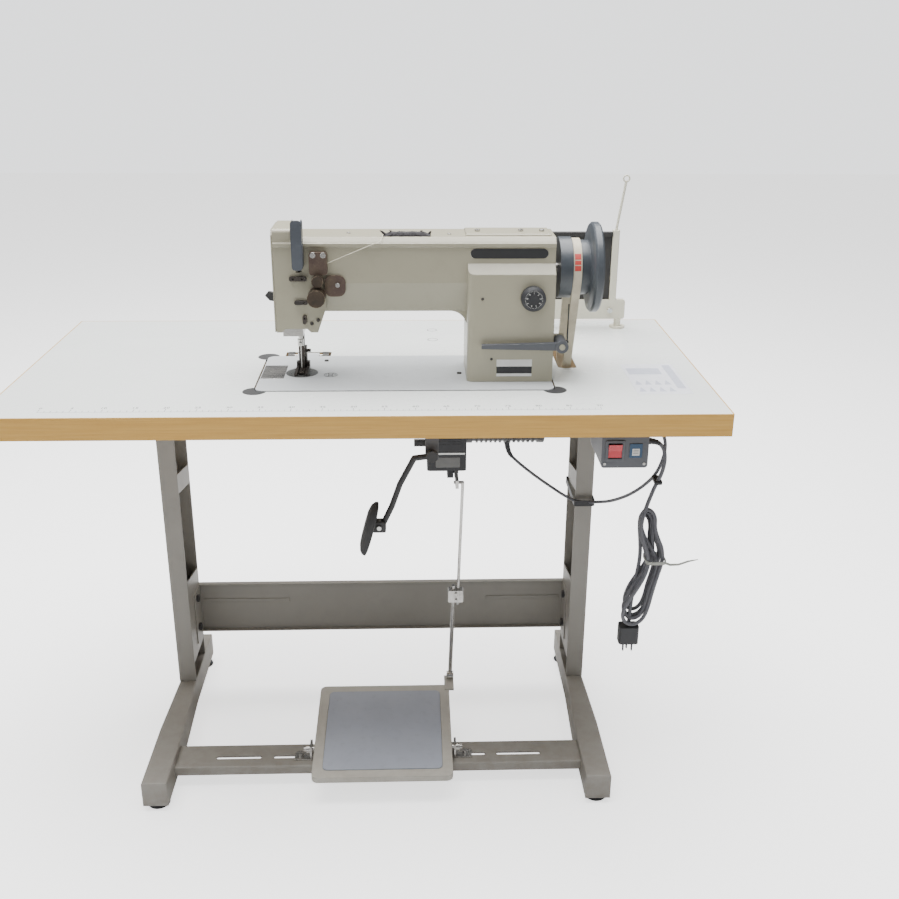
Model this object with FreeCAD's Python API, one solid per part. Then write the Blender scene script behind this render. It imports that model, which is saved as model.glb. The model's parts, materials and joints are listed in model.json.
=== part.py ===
import FreeCAD, Part
import math
import os

# Leather sewing machine: a long-arm walking-foot head on a laminate table with a
# pressed-steel stand, a foot pedal, a knee lifter and a servo motor under the table.
# Millimetres, +Z up, origin on the floor under the middle of the tabletop,
# +X to the operator's right, -Y towards the operator.

os.makedirs("parts", exist_ok=True)

# ---------------------------------------------------------------- driving sizes
TABLE_LENGTH = 1200.0
TABLE_DEPTH = 600.0
TABLE_THICK = 38.0
TABLE_TOP = 765.0
EDGE_BAND = 2.0

BED_LENGTH = 508.0
BED_DEPTH = 205.0
BED_LEFT = -180.0
BED_FRONT = -171.0
BED_RISE = 1.0
BED_SKIRT = 30.0
BED_WALL = 8.0
BED_PLATE = 10.0
BED_GAP = 3.0
BED_CORNER = 14.0

LEG_SPACING = 810.0
LEG_BEYOND_BELT = 57.0
LEG_WIDTH = 34.0
LEG_DEPTH = 106.0
LEG_FRONT = 31.0
LEG_SHEET = 2.5
RAIL_HEIGHT = 27.0
RAIL_LENGTH = 390.0
RAIL_WIDTH = 40.0

FOOT_FRONT = -296.0
FOOT_LENGTH = 516.0
FOOT_WIDTH = 46.0
FOOT_HEIGHT = 50.0
GLIDE_HEIGHT = 12.0
GLIDE_RADIUS = 20.0

PANEL_HEIGHT = 113.0
PANEL_BOTTOM = 125.0
PANEL_SHEET = 2.0
PANEL_LIP = 12.0

BAR_WIDTH = 66.0
BAR_MIDDLE_Y = -198.0
BAR_RISE = 34.0
BAR_SHEET = 3.0
BAR_FLANGE = 20.0

PEDAL_WIDTH = 260.0
PEDAL_LENGTH = 262.0
PEDAL_THICK = 12.0
PEDAL_MIDDLE_X = 26.0
PEDAL_PIVOT_RISE = 18.0
PEDAL_FRONT = -290.0
PEDAL_TILT = 4.6
PIVOT_RADIUS = 5.0

HEAD_Y = -66.0
SHAFT_RISE = 188.0
SHAFT_RADIUS = 8.0
ARM_TOP_RISE = 247.0
ARM_INSET = 36.0
ARM_HALF_DEPTH = 47.0
ARM_UNDER_RISE = 119.0
ARM_CREASE_RISE = 171.0
HEAD_WIDTH = 86.0
HEAD_BOTTOM_RISE = 86.0
COLUMN_WIDTH = 145.0
COLUMN_HALF_DEPTH = 62.0
COLUMN_SHOULDER_RISE = 188.0
CASTING_WALL = 9.0

WHEEL_RADIUS = 77.0
BELT_OUT = 38.0
BELT_WIDTH = 14.4
BELT_THICK = 6.5
BELT_SEAT = 9.0
WHEEL_GROOVE_RADIUS = 43.0

MOTOR_Y = 56.0
MOTOR_DROP = 87.0
MOTOR_RADIUS = 54.0
MOTOR_LENGTH = 152.0
MOTOR_GROOVE_RADIUS = 28.0

NEEDLE_INSET = 35.0
BAR_CLEAR = 10.0
NEEDLE_BAR_RADIUS = 3.6
FOOT_BAR_RADIUS = 4.0
BAR_PITCH = 16.0
HOOK_RADIUS = 22.0
HOOK_DROP = 38.0
HOOK_SHAFT_RADIUS = 6.0
PLATE_RADIUS = 28.0
PLATE_THICK = 2.0

RUN_FIT = 0.05
PIECE_GAP = 0.3
CUSHION_GAP = 0.8
CORD_DIAMETER = 7.0
LEAD_DIAMETER = 6.0
THREAD_DIAMETER = 0.9

# ---------------------------------------------------------------- worked-out planes
TABLE_UNDER = TABLE_TOP - TABLE_THICK
BED_TOP = TABLE_TOP + BED_RISE
BED_RIGHT = BED_LEFT + BED_LENGTH
BED_REAR = BED_FRONT + BED_DEPTH
BED_BOTTOM = BED_TOP - BED_SKIRT
BED_UNDER = BED_TOP - BED_PLATE
FOOT_TOP = GLIDE_HEIGHT + FOOT_HEIGHT
FOOT_REAR = FOOT_FRONT + FOOT_LENGTH
LEG_REAR = LEG_FRONT + LEG_DEPTH
LEG_TOP = TABLE_UNDER - RAIL_HEIGHT
LEG_MIDDLE_Y = LEG_FRONT + LEG_DEPTH / 2
SHAFT_Z = TABLE_TOP + SHAFT_RISE
ARM_TOP = TABLE_TOP + ARM_TOP_RISE
ARM_UNDER = TABLE_TOP + ARM_UNDER_RISE
ARM_CREASE = TABLE_TOP + ARM_CREASE_RISE
ARM_FRONT = HEAD_Y - ARM_HALF_DEPTH
ARM_REAR = HEAD_Y + ARM_HALF_DEPTH
HEAD_BOTTOM = TABLE_TOP + HEAD_BOTTOM_RISE
COLUMN_FRONT = HEAD_Y - COLUMN_HALF_DEPTH
COLUMN_REAR = HEAD_Y + COLUMN_HALF_DEPTH
COLUMN_SHOULDER = TABLE_TOP + COLUMN_SHOULDER_RISE
HOOK_Z = BED_TOP - HOOK_DROP
HINGE_Y = BED_REAR + 18.0
HINGE_Z = TABLE_TOP - 4.0
HINGE_PIN_RADIUS = 3.0
ARM_LEFT = BED_LEFT + ARM_INSET
HEAD_RIGHT = ARM_LEFT + HEAD_WIDTH
COLUMN_RIGHT = BED_RIGHT
COLUMN_LEFT = COLUMN_RIGHT - COLUMN_WIDTH
NEEDLE_X = ARM_LEFT + NEEDLE_INSET
PRESSER_BAR_Y = ARM_REAR - CASTING_WALL - BAR_CLEAR
WALKING_BAR_Y = PRESSER_BAR_Y - BAR_PITCH
NEEDLE_Y = WALKING_BAR_Y - BAR_PITCH
BELT_MIDDLE_X = COLUMN_RIGHT + BELT_OUT
RIGHT_LEG_X = BELT_MIDDLE_X + LEG_BEYOND_BELT
LEFT_LEG_X = RIGHT_LEG_X - LEG_SPACING
STAND_MIDDLE = (LEFT_LEG_X + RIGHT_LEG_X) / 2
WHEEL_PULLEY_RADIUS = WHEEL_GROOVE_RADIUS + BELT_SEAT
MOTOR_PULLEY_RADIUS = MOTOR_GROOVE_RADIUS + BELT_SEAT
MOTOR_Z = TABLE_UNDER - MOTOR_DROP
MOTOR_LEFT = BELT_MIDDLE_X - 180.0
BAR_TOP = GLIDE_HEIGHT + BAR_RISE
PEDAL_PIVOT_Y = BAR_MIDDLE_Y - 7.0
PEDAL_PIVOT_Z = BAR_TOP + PEDAL_PIVOT_RISE


# ---------------------------------------------------------------- helpers
def block(x0, x1, y0, y1, z0, z1):
    return Part.makeBox(x1 - x0, y1 - y0, z1 - z0, FreeCAD.Vector(x0, y0, z0))


def soft_block(x0, x1, y0, y1, z0, z1, radius, axis="z"):
    """Box whose four edges along one axis are rounded."""
    shape = block(x0, x1, y0, y1, z0, z1)
    edges = [e for e in shape.Edges if abs(getattr(e.tangentAt(0), axis)) > 0.9]
    return shape.makeFillet(radius, edges)


def pin(axis, a, b, start, end, radius):
    """Cylinder along an axis; (a, b) are its two other coordinates in X, Y, Z order."""
    places = {"x": (start, a, b), "y": (a, start, b), "z": (a, b, start)}
    ways = {"x": (1, 0, 0), "y": (0, 1, 0), "z": (0, 0, 1)}
    return Part.makeCylinder(radius, end - start, FreeCAD.Vector(*places[axis]), FreeCAD.Vector(*ways[axis]))


def prism(axis, outline, start, end):
    """Polygon of (a, b) points, in X, Y, Z order, pushed along an axis."""
    makers = {
        "x": lambda a, b: FreeCAD.Vector(start, a, b),
        "y": lambda a, b: FreeCAD.Vector(a, start, b),
        "z": lambda a, b: FreeCAD.Vector(a, b, start),
    }
    ways = {"x": (1, 0, 0), "y": (0, 1, 0), "z": (0, 0, 1)}
    corners = [makers[axis](a, b) for a, b in outline]
    face = Part.Face(Part.makePolygon(corners + corners[:1]))
    push = FreeCAD.Vector(*ways[axis]) * (end - start)
    return face.extrude(push)


def joined(*shapes):
    return shapes[0].fuse(list(shapes[1:])).removeSplitter()


def less(shape, *cutters):
    return shape.cut(list(cutters))


def turned(profile, y, z):
    """Profile of (x, radius) points turned about an axis along X."""
    corners = [FreeCAD.Vector(x, y, z + r) for x, r in profile]
    face = Part.Face(Part.makePolygon(corners + corners[:1]))
    return face.revolve(FreeCAD.Vector(0, y, z), FreeCAD.Vector(1, 0, 0), 360)


def mirrored_x(shape, middle):
    return shape.mirror(FreeCAD.Vector(middle, 0, 0), FreeCAD.Vector(1, 0, 0))


def save(name, *shapes):
    solids = [solid for shape in shapes for solid in shape.Solids]
    whole = solids[0] if len(solids) == 1 else Part.makeCompound(solids)
    whole.exportStep("parts/" + name + ".step")
    box = whole.BoundBox
    print(name, len(solids), "solid(s)", whole.isValid(), round(whole.Volume / 1000.0, 1), "cm3",
          [round(v, 1) for v in (box.XMin, box.XMax, box.YMin, box.YMax, box.ZMin, box.ZMax)])


def cord(name, route, diameter):
    """Round cord along straight runs joined by tangent arcs; prints the arcs' radii."""
    points = [FreeCAD.Vector(*p) for p in route]
    edges = []
    radii = []
    last = points[0]
    for before, corner, after in zip(points, points[1:], points[2:]):
        into = (corner - before).normalize()
        out = (after - corner).normalize()
        turn = into.getAngle(out)
        short = min(corner.distanceToPoint(before), corner.distanceToPoint(after))
        setback = 0.45 * short
        radius = setback / math.tan(turn / 2)
        radii.append(radius)
        start = corner - into * setback
        end = corner + out * setback
        inward = (out - into).normalize()
        middle = corner + inward * (radius / math.cos(turn / 2) - radius)
        edges.append(Part.LineSegment(last, start).toShape())
        edges.append(Part.Arc(start, middle, end).toShape())
        last = end
    edges.append(Part.LineSegment(last, points[-1]).toShape())
    path = Part.Wire(edges)
    ring = Part.Wire(Part.Circle(points[0], points[1] - points[0], diameter / 2).toShape())
    tube = path.makePipeShell([ring], True, True)
    area = math.pi * diameter ** 2 / 4
    print(name, "radii", [round(r, 1) for r in radii], "length", round(path.Length, 1),
          "volume ratio", round(tube.Volume / (area * path.Length), 4))
    save(name, tube)


def belt_loop(first, first_radius, second, second_radius, x0, x1, thick):
    """Flat endless belt round two pulleys whose axes run along X; centres are (y, z)."""
    def outline(extra):
        r1 = first_radius + extra
        r2 = second_radius + extra
        dy = second[0] - first[0]
        dz = second[1] - first[1]
        span = math.hypot(dy, dz)
        heading = math.atan2(dz, dy)
        lean = math.acos((r1 - r2) / span)
        points = []
        for centre, radius in ((first, r1), (second, r2)):
            for side in (lean, -lean):
                angle = heading + side
                points.append(FreeCAD.Vector(x0, centre[0] + radius * math.cos(angle),
                                             centre[1] + radius * math.sin(angle)))
        far1 = FreeCAD.Vector(x0, first[0] - r1 * math.cos(heading), first[1] - r1 * math.sin(heading))
        far2 = FreeCAD.Vector(x0, second[0] + r2 * math.cos(heading), second[1] + r2 * math.sin(heading))
        wire = Part.Wire([
            Part.Arc(points[0], far1, points[1]).toShape(),
            Part.LineSegment(points[1], points[3]).toShape(),
            Part.Arc(points[3], far2, points[2]).toShape(),
            Part.LineSegment(points[2], points[0]).toShape(),
        ])
        return Part.Face(wire).extrude(FreeCAD.Vector(x1 - x0, 0, 0))
    return outline(thick).cut(outline(0.0))


# ---------------------------------------------------------------- table
CUT_LEFT = BED_LEFT - BED_GAP
CUT_RIGHT = BED_RIGHT + BED_GAP
CUT_FRONT = BED_FRONT - BED_GAP
CUT_REAR = BED_REAR + BED_GAP
CUSHION_RADIUS = 20.0
BED_CORNERS = [(x, y) for x in (BED_LEFT, BED_RIGHT) for y in (BED_FRONT, BED_REAR)]
HINGE_XS = (BED_LEFT + 72.0, BED_RIGHT - 72.0)
HINGE_HALF = 42.0
HINGE_POCKET_DEPTH = 12.0
SLOT_LEFT = BELT_MIDDLE_X - 16.0
SLOT_RIGHT = BELT_MIDDLE_X + 18.0


def belt_edge(side, z):
    """Y of the belt's front (-1) or rear (1) strand at a height, taking the strand as straight."""
    upper = HEAD_Y + side * (WHEEL_GROOVE_RADIUS + BELT_THICK)
    lower = MOTOR_Y + side * (MOTOR_GROOVE_RADIUS + BELT_THICK)
    return upper + (lower - upper) * (SHAFT_Z - z) / (SHAFT_Z - MOTOR_Z)


SLOT_FRONT = belt_edge(-1, TABLE_TOP) - 12.5
SLOT_REAR = belt_edge(1, TABLE_UNDER) + 23.0


def tabletop():
    half_x = TABLE_LENGTH / 2 - EDGE_BAND
    half_y = TABLE_DEPTH / 2 - EDGE_BAND
    board = block(-half_x, half_x, -half_y, half_y, TABLE_UNDER, TABLE_TOP)
    cuts = [block(CUT_LEFT, CUT_RIGHT, CUT_FRONT, CUT_REAR, TABLE_UNDER - 1, TABLE_TOP + 1)]
    cuts += [pin("z", x, y, TABLE_UNDER - 1, TABLE_TOP + 1, CUSHION_RADIUS) for x, y in BED_CORNERS]
    cuts.append(soft_block(SLOT_LEFT, SLOT_RIGHT, SLOT_FRONT, SLOT_REAR, TABLE_UNDER - 1, TABLE_TOP + 1, 8.0))
    for x in HINGE_XS:
        cuts.append(block(x - HINGE_HALF, x + HINGE_HALF, CUT_REAR - 1, HINGE_Y + 12,
                          TABLE_TOP - HINGE_POCKET_DEPTH, TABLE_TOP + 1))
    return less(board, *cuts)


def edge_band():
    outer = soft_block(-TABLE_LENGTH / 2, TABLE_LENGTH / 2, -TABLE_DEPTH / 2, TABLE_DEPTH / 2,
                       TABLE_UNDER, TABLE_TOP, EDGE_BAND - 0.2)
    inner = block(-TABLE_LENGTH / 2 + EDGE_BAND, TABLE_LENGTH / 2 - EDGE_BAND,
                  -TABLE_DEPTH / 2 + EDGE_BAND, TABLE_DEPTH / 2 - EDGE_BAND, TABLE_UNDER - 1, TABLE_TOP + 1)
    return less(outer, inner)


def corner_cushions():
    """Rubber pads in the table cut-out's corners, clear of the bed's front edge as it tips back."""
    pads = []
    gap = CUSHION_GAP
    reach = HINGE_Y - BED_FRONT
    swing = math.hypot(reach, HINGE_Z - BED_BOTTOM) - reach
    bed = soft_block(BED_LEFT - gap, BED_RIGHT + gap, BED_FRONT - swing - gap, BED_REAR + gap,
                     BED_BOTTOM - PIECE_GAP, BED_TOP + 1, BED_CORNER)
    for x, y in BED_CORNERS:
        pads.append(less(pin("z", x, y, TABLE_UNDER, TABLE_TOP, CUSHION_RADIUS), bed))
    return pads


def table_hinges():
    """Table half of the two hinges that the head tips back on: a cup and two ears."""
    halves = []
    floor = TABLE_TOP - HINGE_POCKET_DEPTH
    for x in HINGE_XS:
        base = block(x - HINGE_HALF, x + HINGE_HALF, CUT_REAR, HINGE_Y + 12, floor, floor + 2)
        ears = [block(x + side * 32 - 6, x + side * 32 + 6, HINGE_Y - 6, HINGE_Y + 12, floor, TABLE_TOP + 0.5)
                for side in (-1, 1)]
        pivot = pin("x", HINGE_Y, HINGE_Z, x - 30, x + 30, HINGE_PIN_RADIUS)
        halves.append(joined(base, ears[0], ears[1], pivot))
    return halves


save("tabletop", tabletop())
save("edge_band", edge_band())
save("corner_cushions", *corner_cushions())
save("table_hinges", *table_hinges())


# ---------------------------------------------------------------- stand
def leg():
    """Left leg: a channel open towards the middle, two flat straps across it and a top rail."""
    x0 = LEFT_LEG_X - LEG_WIDTH / 2
    x1 = LEFT_LEG_X + LEG_WIDTH / 2
    tube = block(x0, x1, LEG_FRONT, LEG_REAR, FOOT_TOP, LEG_TOP)
    inside = block(x0 + LEG_SHEET, x1 + 1, LEG_FRONT + LEG_SHEET, LEG_REAR - LEG_SHEET,
                   FOOT_TOP + LEG_SHEET, LEG_TOP - LEG_SHEET)
    pieces = [less(tube, inside)]
    strap_height = 40.0
    strap_drop = 20.0
    leg_height = LEG_TOP - FOOT_TOP
    for front_z in (FOOT_TOP + leg_height * 0.30, FOOT_TOP + leg_height * 0.67):
        corners = [(LEG_FRONT, front_z), (LEG_REAR, front_z - strap_drop),
                   (LEG_REAR, front_z - strap_drop + strap_height), (LEG_FRONT, front_z + strap_height)]
        pieces.append(prism("x", corners, x1 - LEG_SHEET, x1))
    pieces.append(block(x1 - LEG_SHEET, x1, LEG_FRONT, LEG_REAR,
                        PANEL_BOTTOM - 20, PANEL_BOTTOM + PANEL_HEIGHT + 20))
    rail_left = LEFT_LEG_X - RAIL_WIDTH / 2
    rail_right = LEFT_LEG_X + RAIL_WIDTH / 2
    rail_start = LEG_MIDDLE_Y - RAIL_LENGTH / 2 - 20
    rail = block(rail_left, rail_right, rail_start, rail_start + RAIL_LENGTH, LEG_TOP, TABLE_UNDER)
    rail_end = rail_start + RAIL_LENGTH
    hollow = block(rail_left + LEG_SHEET, rail_right - LEG_SHEET, rail_start - 1, rail_end + 1,
                   LEG_TOP + LEG_SHEET, TABLE_UNDER - LEG_SHEET)
    pieces.append(less(rail, hollow))
    return joined(*pieces)


def foot():
    """Left foot: a long box section, full width at the front and narrower behind."""
    half = FOOT_WIDTH / 2
    slim = LEG_WIDTH / 2
    outline = [(LEFT_LEG_X - half, FOOT_FRONT), (LEFT_LEG_X + half, FOOT_FRONT),
               (LEFT_LEG_X + half, BAR_MIDDLE_Y + BAR_WIDTH), (LEFT_LEG_X + slim, LEG_FRONT),
               (LEFT_LEG_X + slim, FOOT_REAR), (LEFT_LEG_X - slim, FOOT_REAR),
               (LEFT_LEG_X - slim, LEG_FRONT), (LEFT_LEG_X - half, BAR_MIDDLE_Y + BAR_WIDTH)]
    body = prism("z", outline, GLIDE_HEIGHT, FOOT_TOP)
    long_edges = [e for e in body.Edges if abs(e.tangentAt(0).z) < 0.1 and e.CenterOfMass.z > FOOT_TOP - 1]
    return body.makeFillet(3.0, long_edges)


def glides():
    """Screw-in levelling glides under both ends of both feet."""
    pieces = []
    for x in (LEFT_LEG_X, RIGHT_LEG_X):
        for y in (FOOT_FRONT + 26, FOOT_REAR - 26):
            stud = pin("z", x, y, 4.0, GLIDE_HEIGHT, 5.0)
            pad = Part.makeCone(GLIDE_RADIUS, GLIDE_RADIUS - 4, 8.0, FreeCAD.Vector(x, y, 0))
            pieces.append(joined(pad, stud))
    return pieces


PANEL_LEFT = LEFT_LEG_X + LEG_WIDTH / 2
PANEL_RIGHT = RIGHT_LEG_X - LEG_WIDTH / 2
PANEL_TOP = PANEL_BOTTOM + PANEL_HEIGHT
PANEL_REAR = LEG_REAR
PANEL_BOLT_Y = 95.0


def cross_panel():
    """Pressed sheet between the legs: two end flanges, two lips and two long pressed ribs."""
    sheet = block(PANEL_LEFT, PANEL_RIGHT, PANEL_REAR - PANEL_SHEET, PANEL_REAR, PANEL_BOTTOM, PANEL_TOP)
    pieces = [sheet]
    for z in (PANEL_BOTTOM, PANEL_TOP - PANEL_SHEET):
        pieces.append(block(PANEL_LEFT, PANEL_RIGHT, PANEL_REAR - PANEL_LIP, PANEL_REAR, z, z + PANEL_SHEET))
    for x in (PANEL_LEFT, PANEL_RIGHT - PANEL_SHEET):
        pieces.append(block(x, x + PANEL_SHEET, PANEL_BOLT_Y - 20, PANEL_REAR, PANEL_BOTTOM, PANEL_TOP))
    rib_z = PANEL_BOTTOM + PANEL_HEIGHT * 0.62
    for x0, x1 in ((PANEL_LEFT + 8, PANEL_LEFT + 190), (PANEL_RIGHT - 165, PANEL_RIGHT - 8)):
        pieces.append(soft_block(x0, x1, PANEL_REAR - PANEL_SHEET - 2, PANEL_REAR - 1,
                                 rib_z - 4, rib_z + 4, 1.2, "x"))
    return joined(*pieces)


def pedal_bar():
    """Slotted channel between the feet that carries the pedal."""
    x0 = LEFT_LEG_X + FOOT_WIDTH / 2
    x1 = RIGHT_LEG_X - FOOT_WIDTH / 2
    y0 = BAR_MIDDLE_Y - BAR_WIDTH / 2
    y1 = BAR_MIDDLE_Y + BAR_WIDTH / 2
    outer = soft_block(x0, x1, y0, y1, BAR_TOP - BAR_FLANGE, BAR_TOP, 3.0, "x")
    hollow = block(x0 + BAR_SHEET, x1 - BAR_SHEET, y0 + BAR_SHEET, y1 - BAR_SHEET,
                   BAR_TOP - BAR_FLANGE - 1, BAR_TOP - BAR_SHEET)
    slot_half = 4.0
    slots = []
    for x, length in ((x0 + 74, 85), (x0 + 182, 49), (x1 - 218, 38), (x1 - 159, 84)):
        slots.append(soft_block(x, x + length, BAR_MIDDLE_Y - 6 - slot_half, BAR_MIDDLE_Y - 6 + slot_half,
                                BAR_TOP - BAR_SHEET - 1, BAR_TOP + 1, slot_half - 0.1))
    return less(outer, hollow, *slots)


def stand_bolts():
    """Hexagon-head bolts: cross panel to legs, pedal bar to feet, rails to table."""
    bolts = []

    def bolt(axis, a, b, start, way, head_radius):
        turns = [math.radians(60 * k) for k in range(6)]
        head = [(a + head_radius * math.cos(turn), b + head_radius * math.sin(turn)) for turn in turns]
        low, high = sorted((start, start + way * head_radius * 0.7))
        return prism(axis, head, low, high)

    for z in (PANEL_BOTTOM + 30, PANEL_TOP - 15):
        bolts.append(bolt("x", PANEL_BOLT_Y, z, PANEL_LEFT + PANEL_SHEET, 1, 8.0))
        bolts.append(bolt("x", PANEL_BOLT_Y, z, PANEL_RIGHT - PANEL_SHEET, -1, 8.0))
    for x, way in ((LEFT_LEG_X - FOOT_WIDTH / 2, -1), (RIGHT_LEG_X + FOOT_WIDTH / 2, 1)):
        for y in (BAR_MIDDLE_Y - 18, BAR_MIDDLE_Y + 18):
            bolts.append(bolt("x", y, BAR_TOP - BAR_FLANGE / 2, x, way, 7.0))
    return bolts


save("legs", leg(), mirrored_x(leg(), STAND_MIDDLE))
save("feet", foot(), mirrored_x(foot(), STAND_MIDDLE))
save("leveling_glides", *glides())
save("cross_panel", cross_panel())
save("pedal_bar", pedal_bar())
save("stand_bolts", *stand_bolts())


# ---------------------------------------------------------------- pedal and its linkage
PEDAL_LEFT = PEDAL_MIDDLE_X - PEDAL_WIDTH / 2
PEDAL_RIGHT = PEDAL_MIDDLE_X + PEDAL_WIDTH / 2
PEDAL_REAR = PEDAL_FRONT + PEDAL_LENGTH
MAT_MARGIN = 19.0
MAT_THICK = 3.0
MAT_RECESS = 1.5
BALL_X = PEDAL_RIGHT + 3.0
BALL_Y = PEDAL_REAR + 20.0
BALL_RADIUS = 6.0
BALL_RISE = 5.2
TILT = math.radians(PEDAL_TILT)
BALL_Z = (PEDAL_PIVOT_Z + (BALL_Y - PEDAL_PIVOT_Y) * math.sin(TILT)
          + (PEDAL_THICK / 2 + 2) * math.cos(TILT) + BALL_RISE)
SOCKET_RADIUS = 9.0
CONTROL_LENGTH = 73.0
CONTROL_HEIGHT = 119.0
CONTROL_RIGHT = MOTOR_LEFT - 1.0
CONTROL_LEFT = CONTROL_RIGHT - CONTROL_LENGTH
CONTROL_FRONT = MOTOR_Y - 116.0
CONTROL_REAR = MOTOR_Y - 11.0
CONTROL_TOP = TABLE_UNDER - 37.0
CONTROL_BOTTOM = CONTROL_TOP - CONTROL_HEIGHT
LEVER_PIN_X = CONTROL_RIGHT - 5.0
LEVER_PIVOT_Y = MOTOR_Y - 28.0
LEVER_PIN_Y = LEVER_PIVOT_Y - 58.0
LEVER_PIN_Z = CONTROL_BOTTOM - 36.0
LEVER_PIN_RADIUS = 3.0
CLAMP_Z = BALL_Z + 194.0
LOWER_ROD_RADIUS = 4.0
UPPER_ROD_RADIUS = 3.0


def tilted(shape):
    """Turn a piece modelled flat by the pedal's rest tilt."""
    turned_shape = shape.copy()
    turned_shape.rotate(FreeCAD.Vector(0, PEDAL_PIVOT_Y, PEDAL_PIVOT_Z), FreeCAD.Vector(1, 0, 0), PEDAL_TILT)
    return turned_shape


def pedal_frame():
    """Cast tread plate with a shallow tray for the mat, a hollow underside and a rear arm."""
    z0 = PEDAL_PIVOT_Z - PEDAL_THICK / 2
    z1 = PEDAL_PIVOT_Z + PEDAL_THICK / 2
    plate = soft_block(PEDAL_LEFT, PEDAL_RIGHT, PEDAL_FRONT, PEDAL_REAR, z0, z1, 12.0)
    tray = soft_block(PEDAL_LEFT + MAT_MARGIN, PEDAL_RIGHT - MAT_MARGIN, PEDAL_FRONT + MAT_MARGIN,
                      PEDAL_REAR - MAT_MARGIN, z1 - MAT_RECESS, z1 + 1, 10.0)
    wall = 14.0
    middle_y = (PEDAL_FRONT + PEDAL_REAR) / 2
    hollows = [block(PEDAL_LEFT + wall, PEDAL_RIGHT - wall, PEDAL_FRONT + wall, middle_y - 4, z0 - 1, z1 - 5),
               block(PEDAL_LEFT + wall, PEDAL_RIGHT - wall, middle_y + 4, PEDAL_REAR - wall, z0 - 1, z1 - 5)]
    seats = [pin("x", PEDAL_PIVOT_Y, PEDAL_PIVOT_Z, x, x + 11, PIVOT_RADIUS + RUN_FIT)
             for x in (PEDAL_LEFT - 1, PEDAL_RIGHT - 10)]
    arm = block(BALL_X - 12, BALL_X + 7, PEDAL_REAR - 16, BALL_Y + 8, z1 - 2, z1 + 2)
    shape = joined(less(plate, tray, *hollows), arm)
    return tilted(less(shape, *seats))


def pedal_mat():
    z1 = PEDAL_PIVOT_Z + PEDAL_THICK / 2
    inset = MAT_MARGIN + PIECE_GAP
    return tilted(soft_block(PEDAL_LEFT + inset, PEDAL_RIGHT - inset, PEDAL_FRONT + inset, PEDAL_REAR - inset,
                             z1 - MAT_RECESS, z1 - MAT_RECESS + MAT_THICK, 9.7))


def pedal_brackets():
    """Two zinc-plated angle brackets on the bar, each with its pivot screw."""
    pieces = []
    for x, way in ((PEDAL_LEFT, -1), (PEDAL_RIGHT, 1)):
        lug = sorted((x + way * 4, x + way * 8))
        base = sorted((x + way * 4, x + way * 38))
        screw = sorted((x - way * 8, x + way * 20))
        head = sorted((x + way * 8, x + way * 15))
        pieces.append(joined(
            block(lug[0], lug[1], PEDAL_PIVOT_Y - 12, PEDAL_PIVOT_Y + 12, BAR_TOP, PEDAL_PIVOT_Z + 12),
            block(base[0], base[1], PEDAL_PIVOT_Y - 12, PEDAL_PIVOT_Y + 12, BAR_TOP, BAR_TOP + 3),
            pin("x", PEDAL_PIVOT_Y, PEDAL_PIVOT_Z, screw[0], screw[1], PIVOT_RADIUS),
            pin("x", PEDAL_PIVOT_Y, PEDAL_PIVOT_Z, head[0], head[1], PIVOT_RADIUS + 3),
            pin("z", (base[0] + base[1]) / 2 + way * 6, PEDAL_PIVOT_Y + 1, BAR_TOP + 3, BAR_TOP + 9, 6.0)))
    return pieces


def ball_stud():
    """Ball and its stud, screwed to the pedal's rear arm."""
    ball = Part.makeSphere(BALL_RADIUS, FreeCAD.Vector(BALL_X, BALL_Y, BALL_Z))
    foot_z = BALL_Z - 9
    return joined(ball, pin("z", BALL_X, BALL_Y, foot_z - 1.5, BALL_Z - 3, 3.5))


def slanted_rod(start, end, radius):
    a = FreeCAD.Vector(*start)
    b = FreeCAD.Vector(*end)
    return Part.makeCylinder(radius, (b - a).Length, a, b - a)


def pitman_point(z, offset):
    """Place on the lower rod's line at a height, moved sideways by an offset."""
    share = (z - BALL_Z) / (LEVER_PIN_Z - BALL_Z)
    top_x = LEVER_PIN_X - LOWER_ROD_RADIUS - UPPER_ROD_RADIUS - 2
    return (BALL_X + share * (top_x - BALL_X) + offset, BALL_Y + share * (LEVER_PIN_Y - BALL_Y), z)


ROD_OFFSET = LOWER_ROD_RADIUS + UPPER_ROD_RADIUS + 2.0


def pitman_lower_rod():
    """Lower rod with the split socket that snaps over the ball."""
    socket = less(pin("x", BALL_Y, BALL_Z, BALL_X - 7, BALL_X + 7, SOCKET_RADIUS),
                  Part.makeSphere(BALL_RADIUS + 0.3, FreeCAD.Vector(BALL_X, BALL_Y, BALL_Z)),
                  block(BALL_X - 8, BALL_X + 8, BALL_Y - 10, BALL_Y + 10, BALL_Z - 10, BALL_Z - 2.5))
    foot, top = pitman_point(BALL_Z + BALL_RADIUS + 1, 0), pitman_point(CLAMP_Z + 22, 0)
    shank = slanted_rod(foot, top, LOWER_ROD_RADIUS)
    return joined(socket, shank)


def pitman_upper_rod():
    """Thin upper rod; its bent top end is the pin in the treadle lever's slot."""
    top = pitman_point(LEVER_PIN_Z, ROD_OFFSET)
    shank = slanted_rod(pitman_point(CLAMP_Z - 22, ROD_OFFSET), top, UPPER_ROD_RADIUS)
    bend = Part.makeSphere(UPPER_ROD_RADIUS, FreeCAD.Vector(*top))
    hook = pin("x", top[1], top[2], top[0] - 17, top[0], LEVER_PIN_RADIUS)
    return joined(shank, bend, hook)


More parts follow.
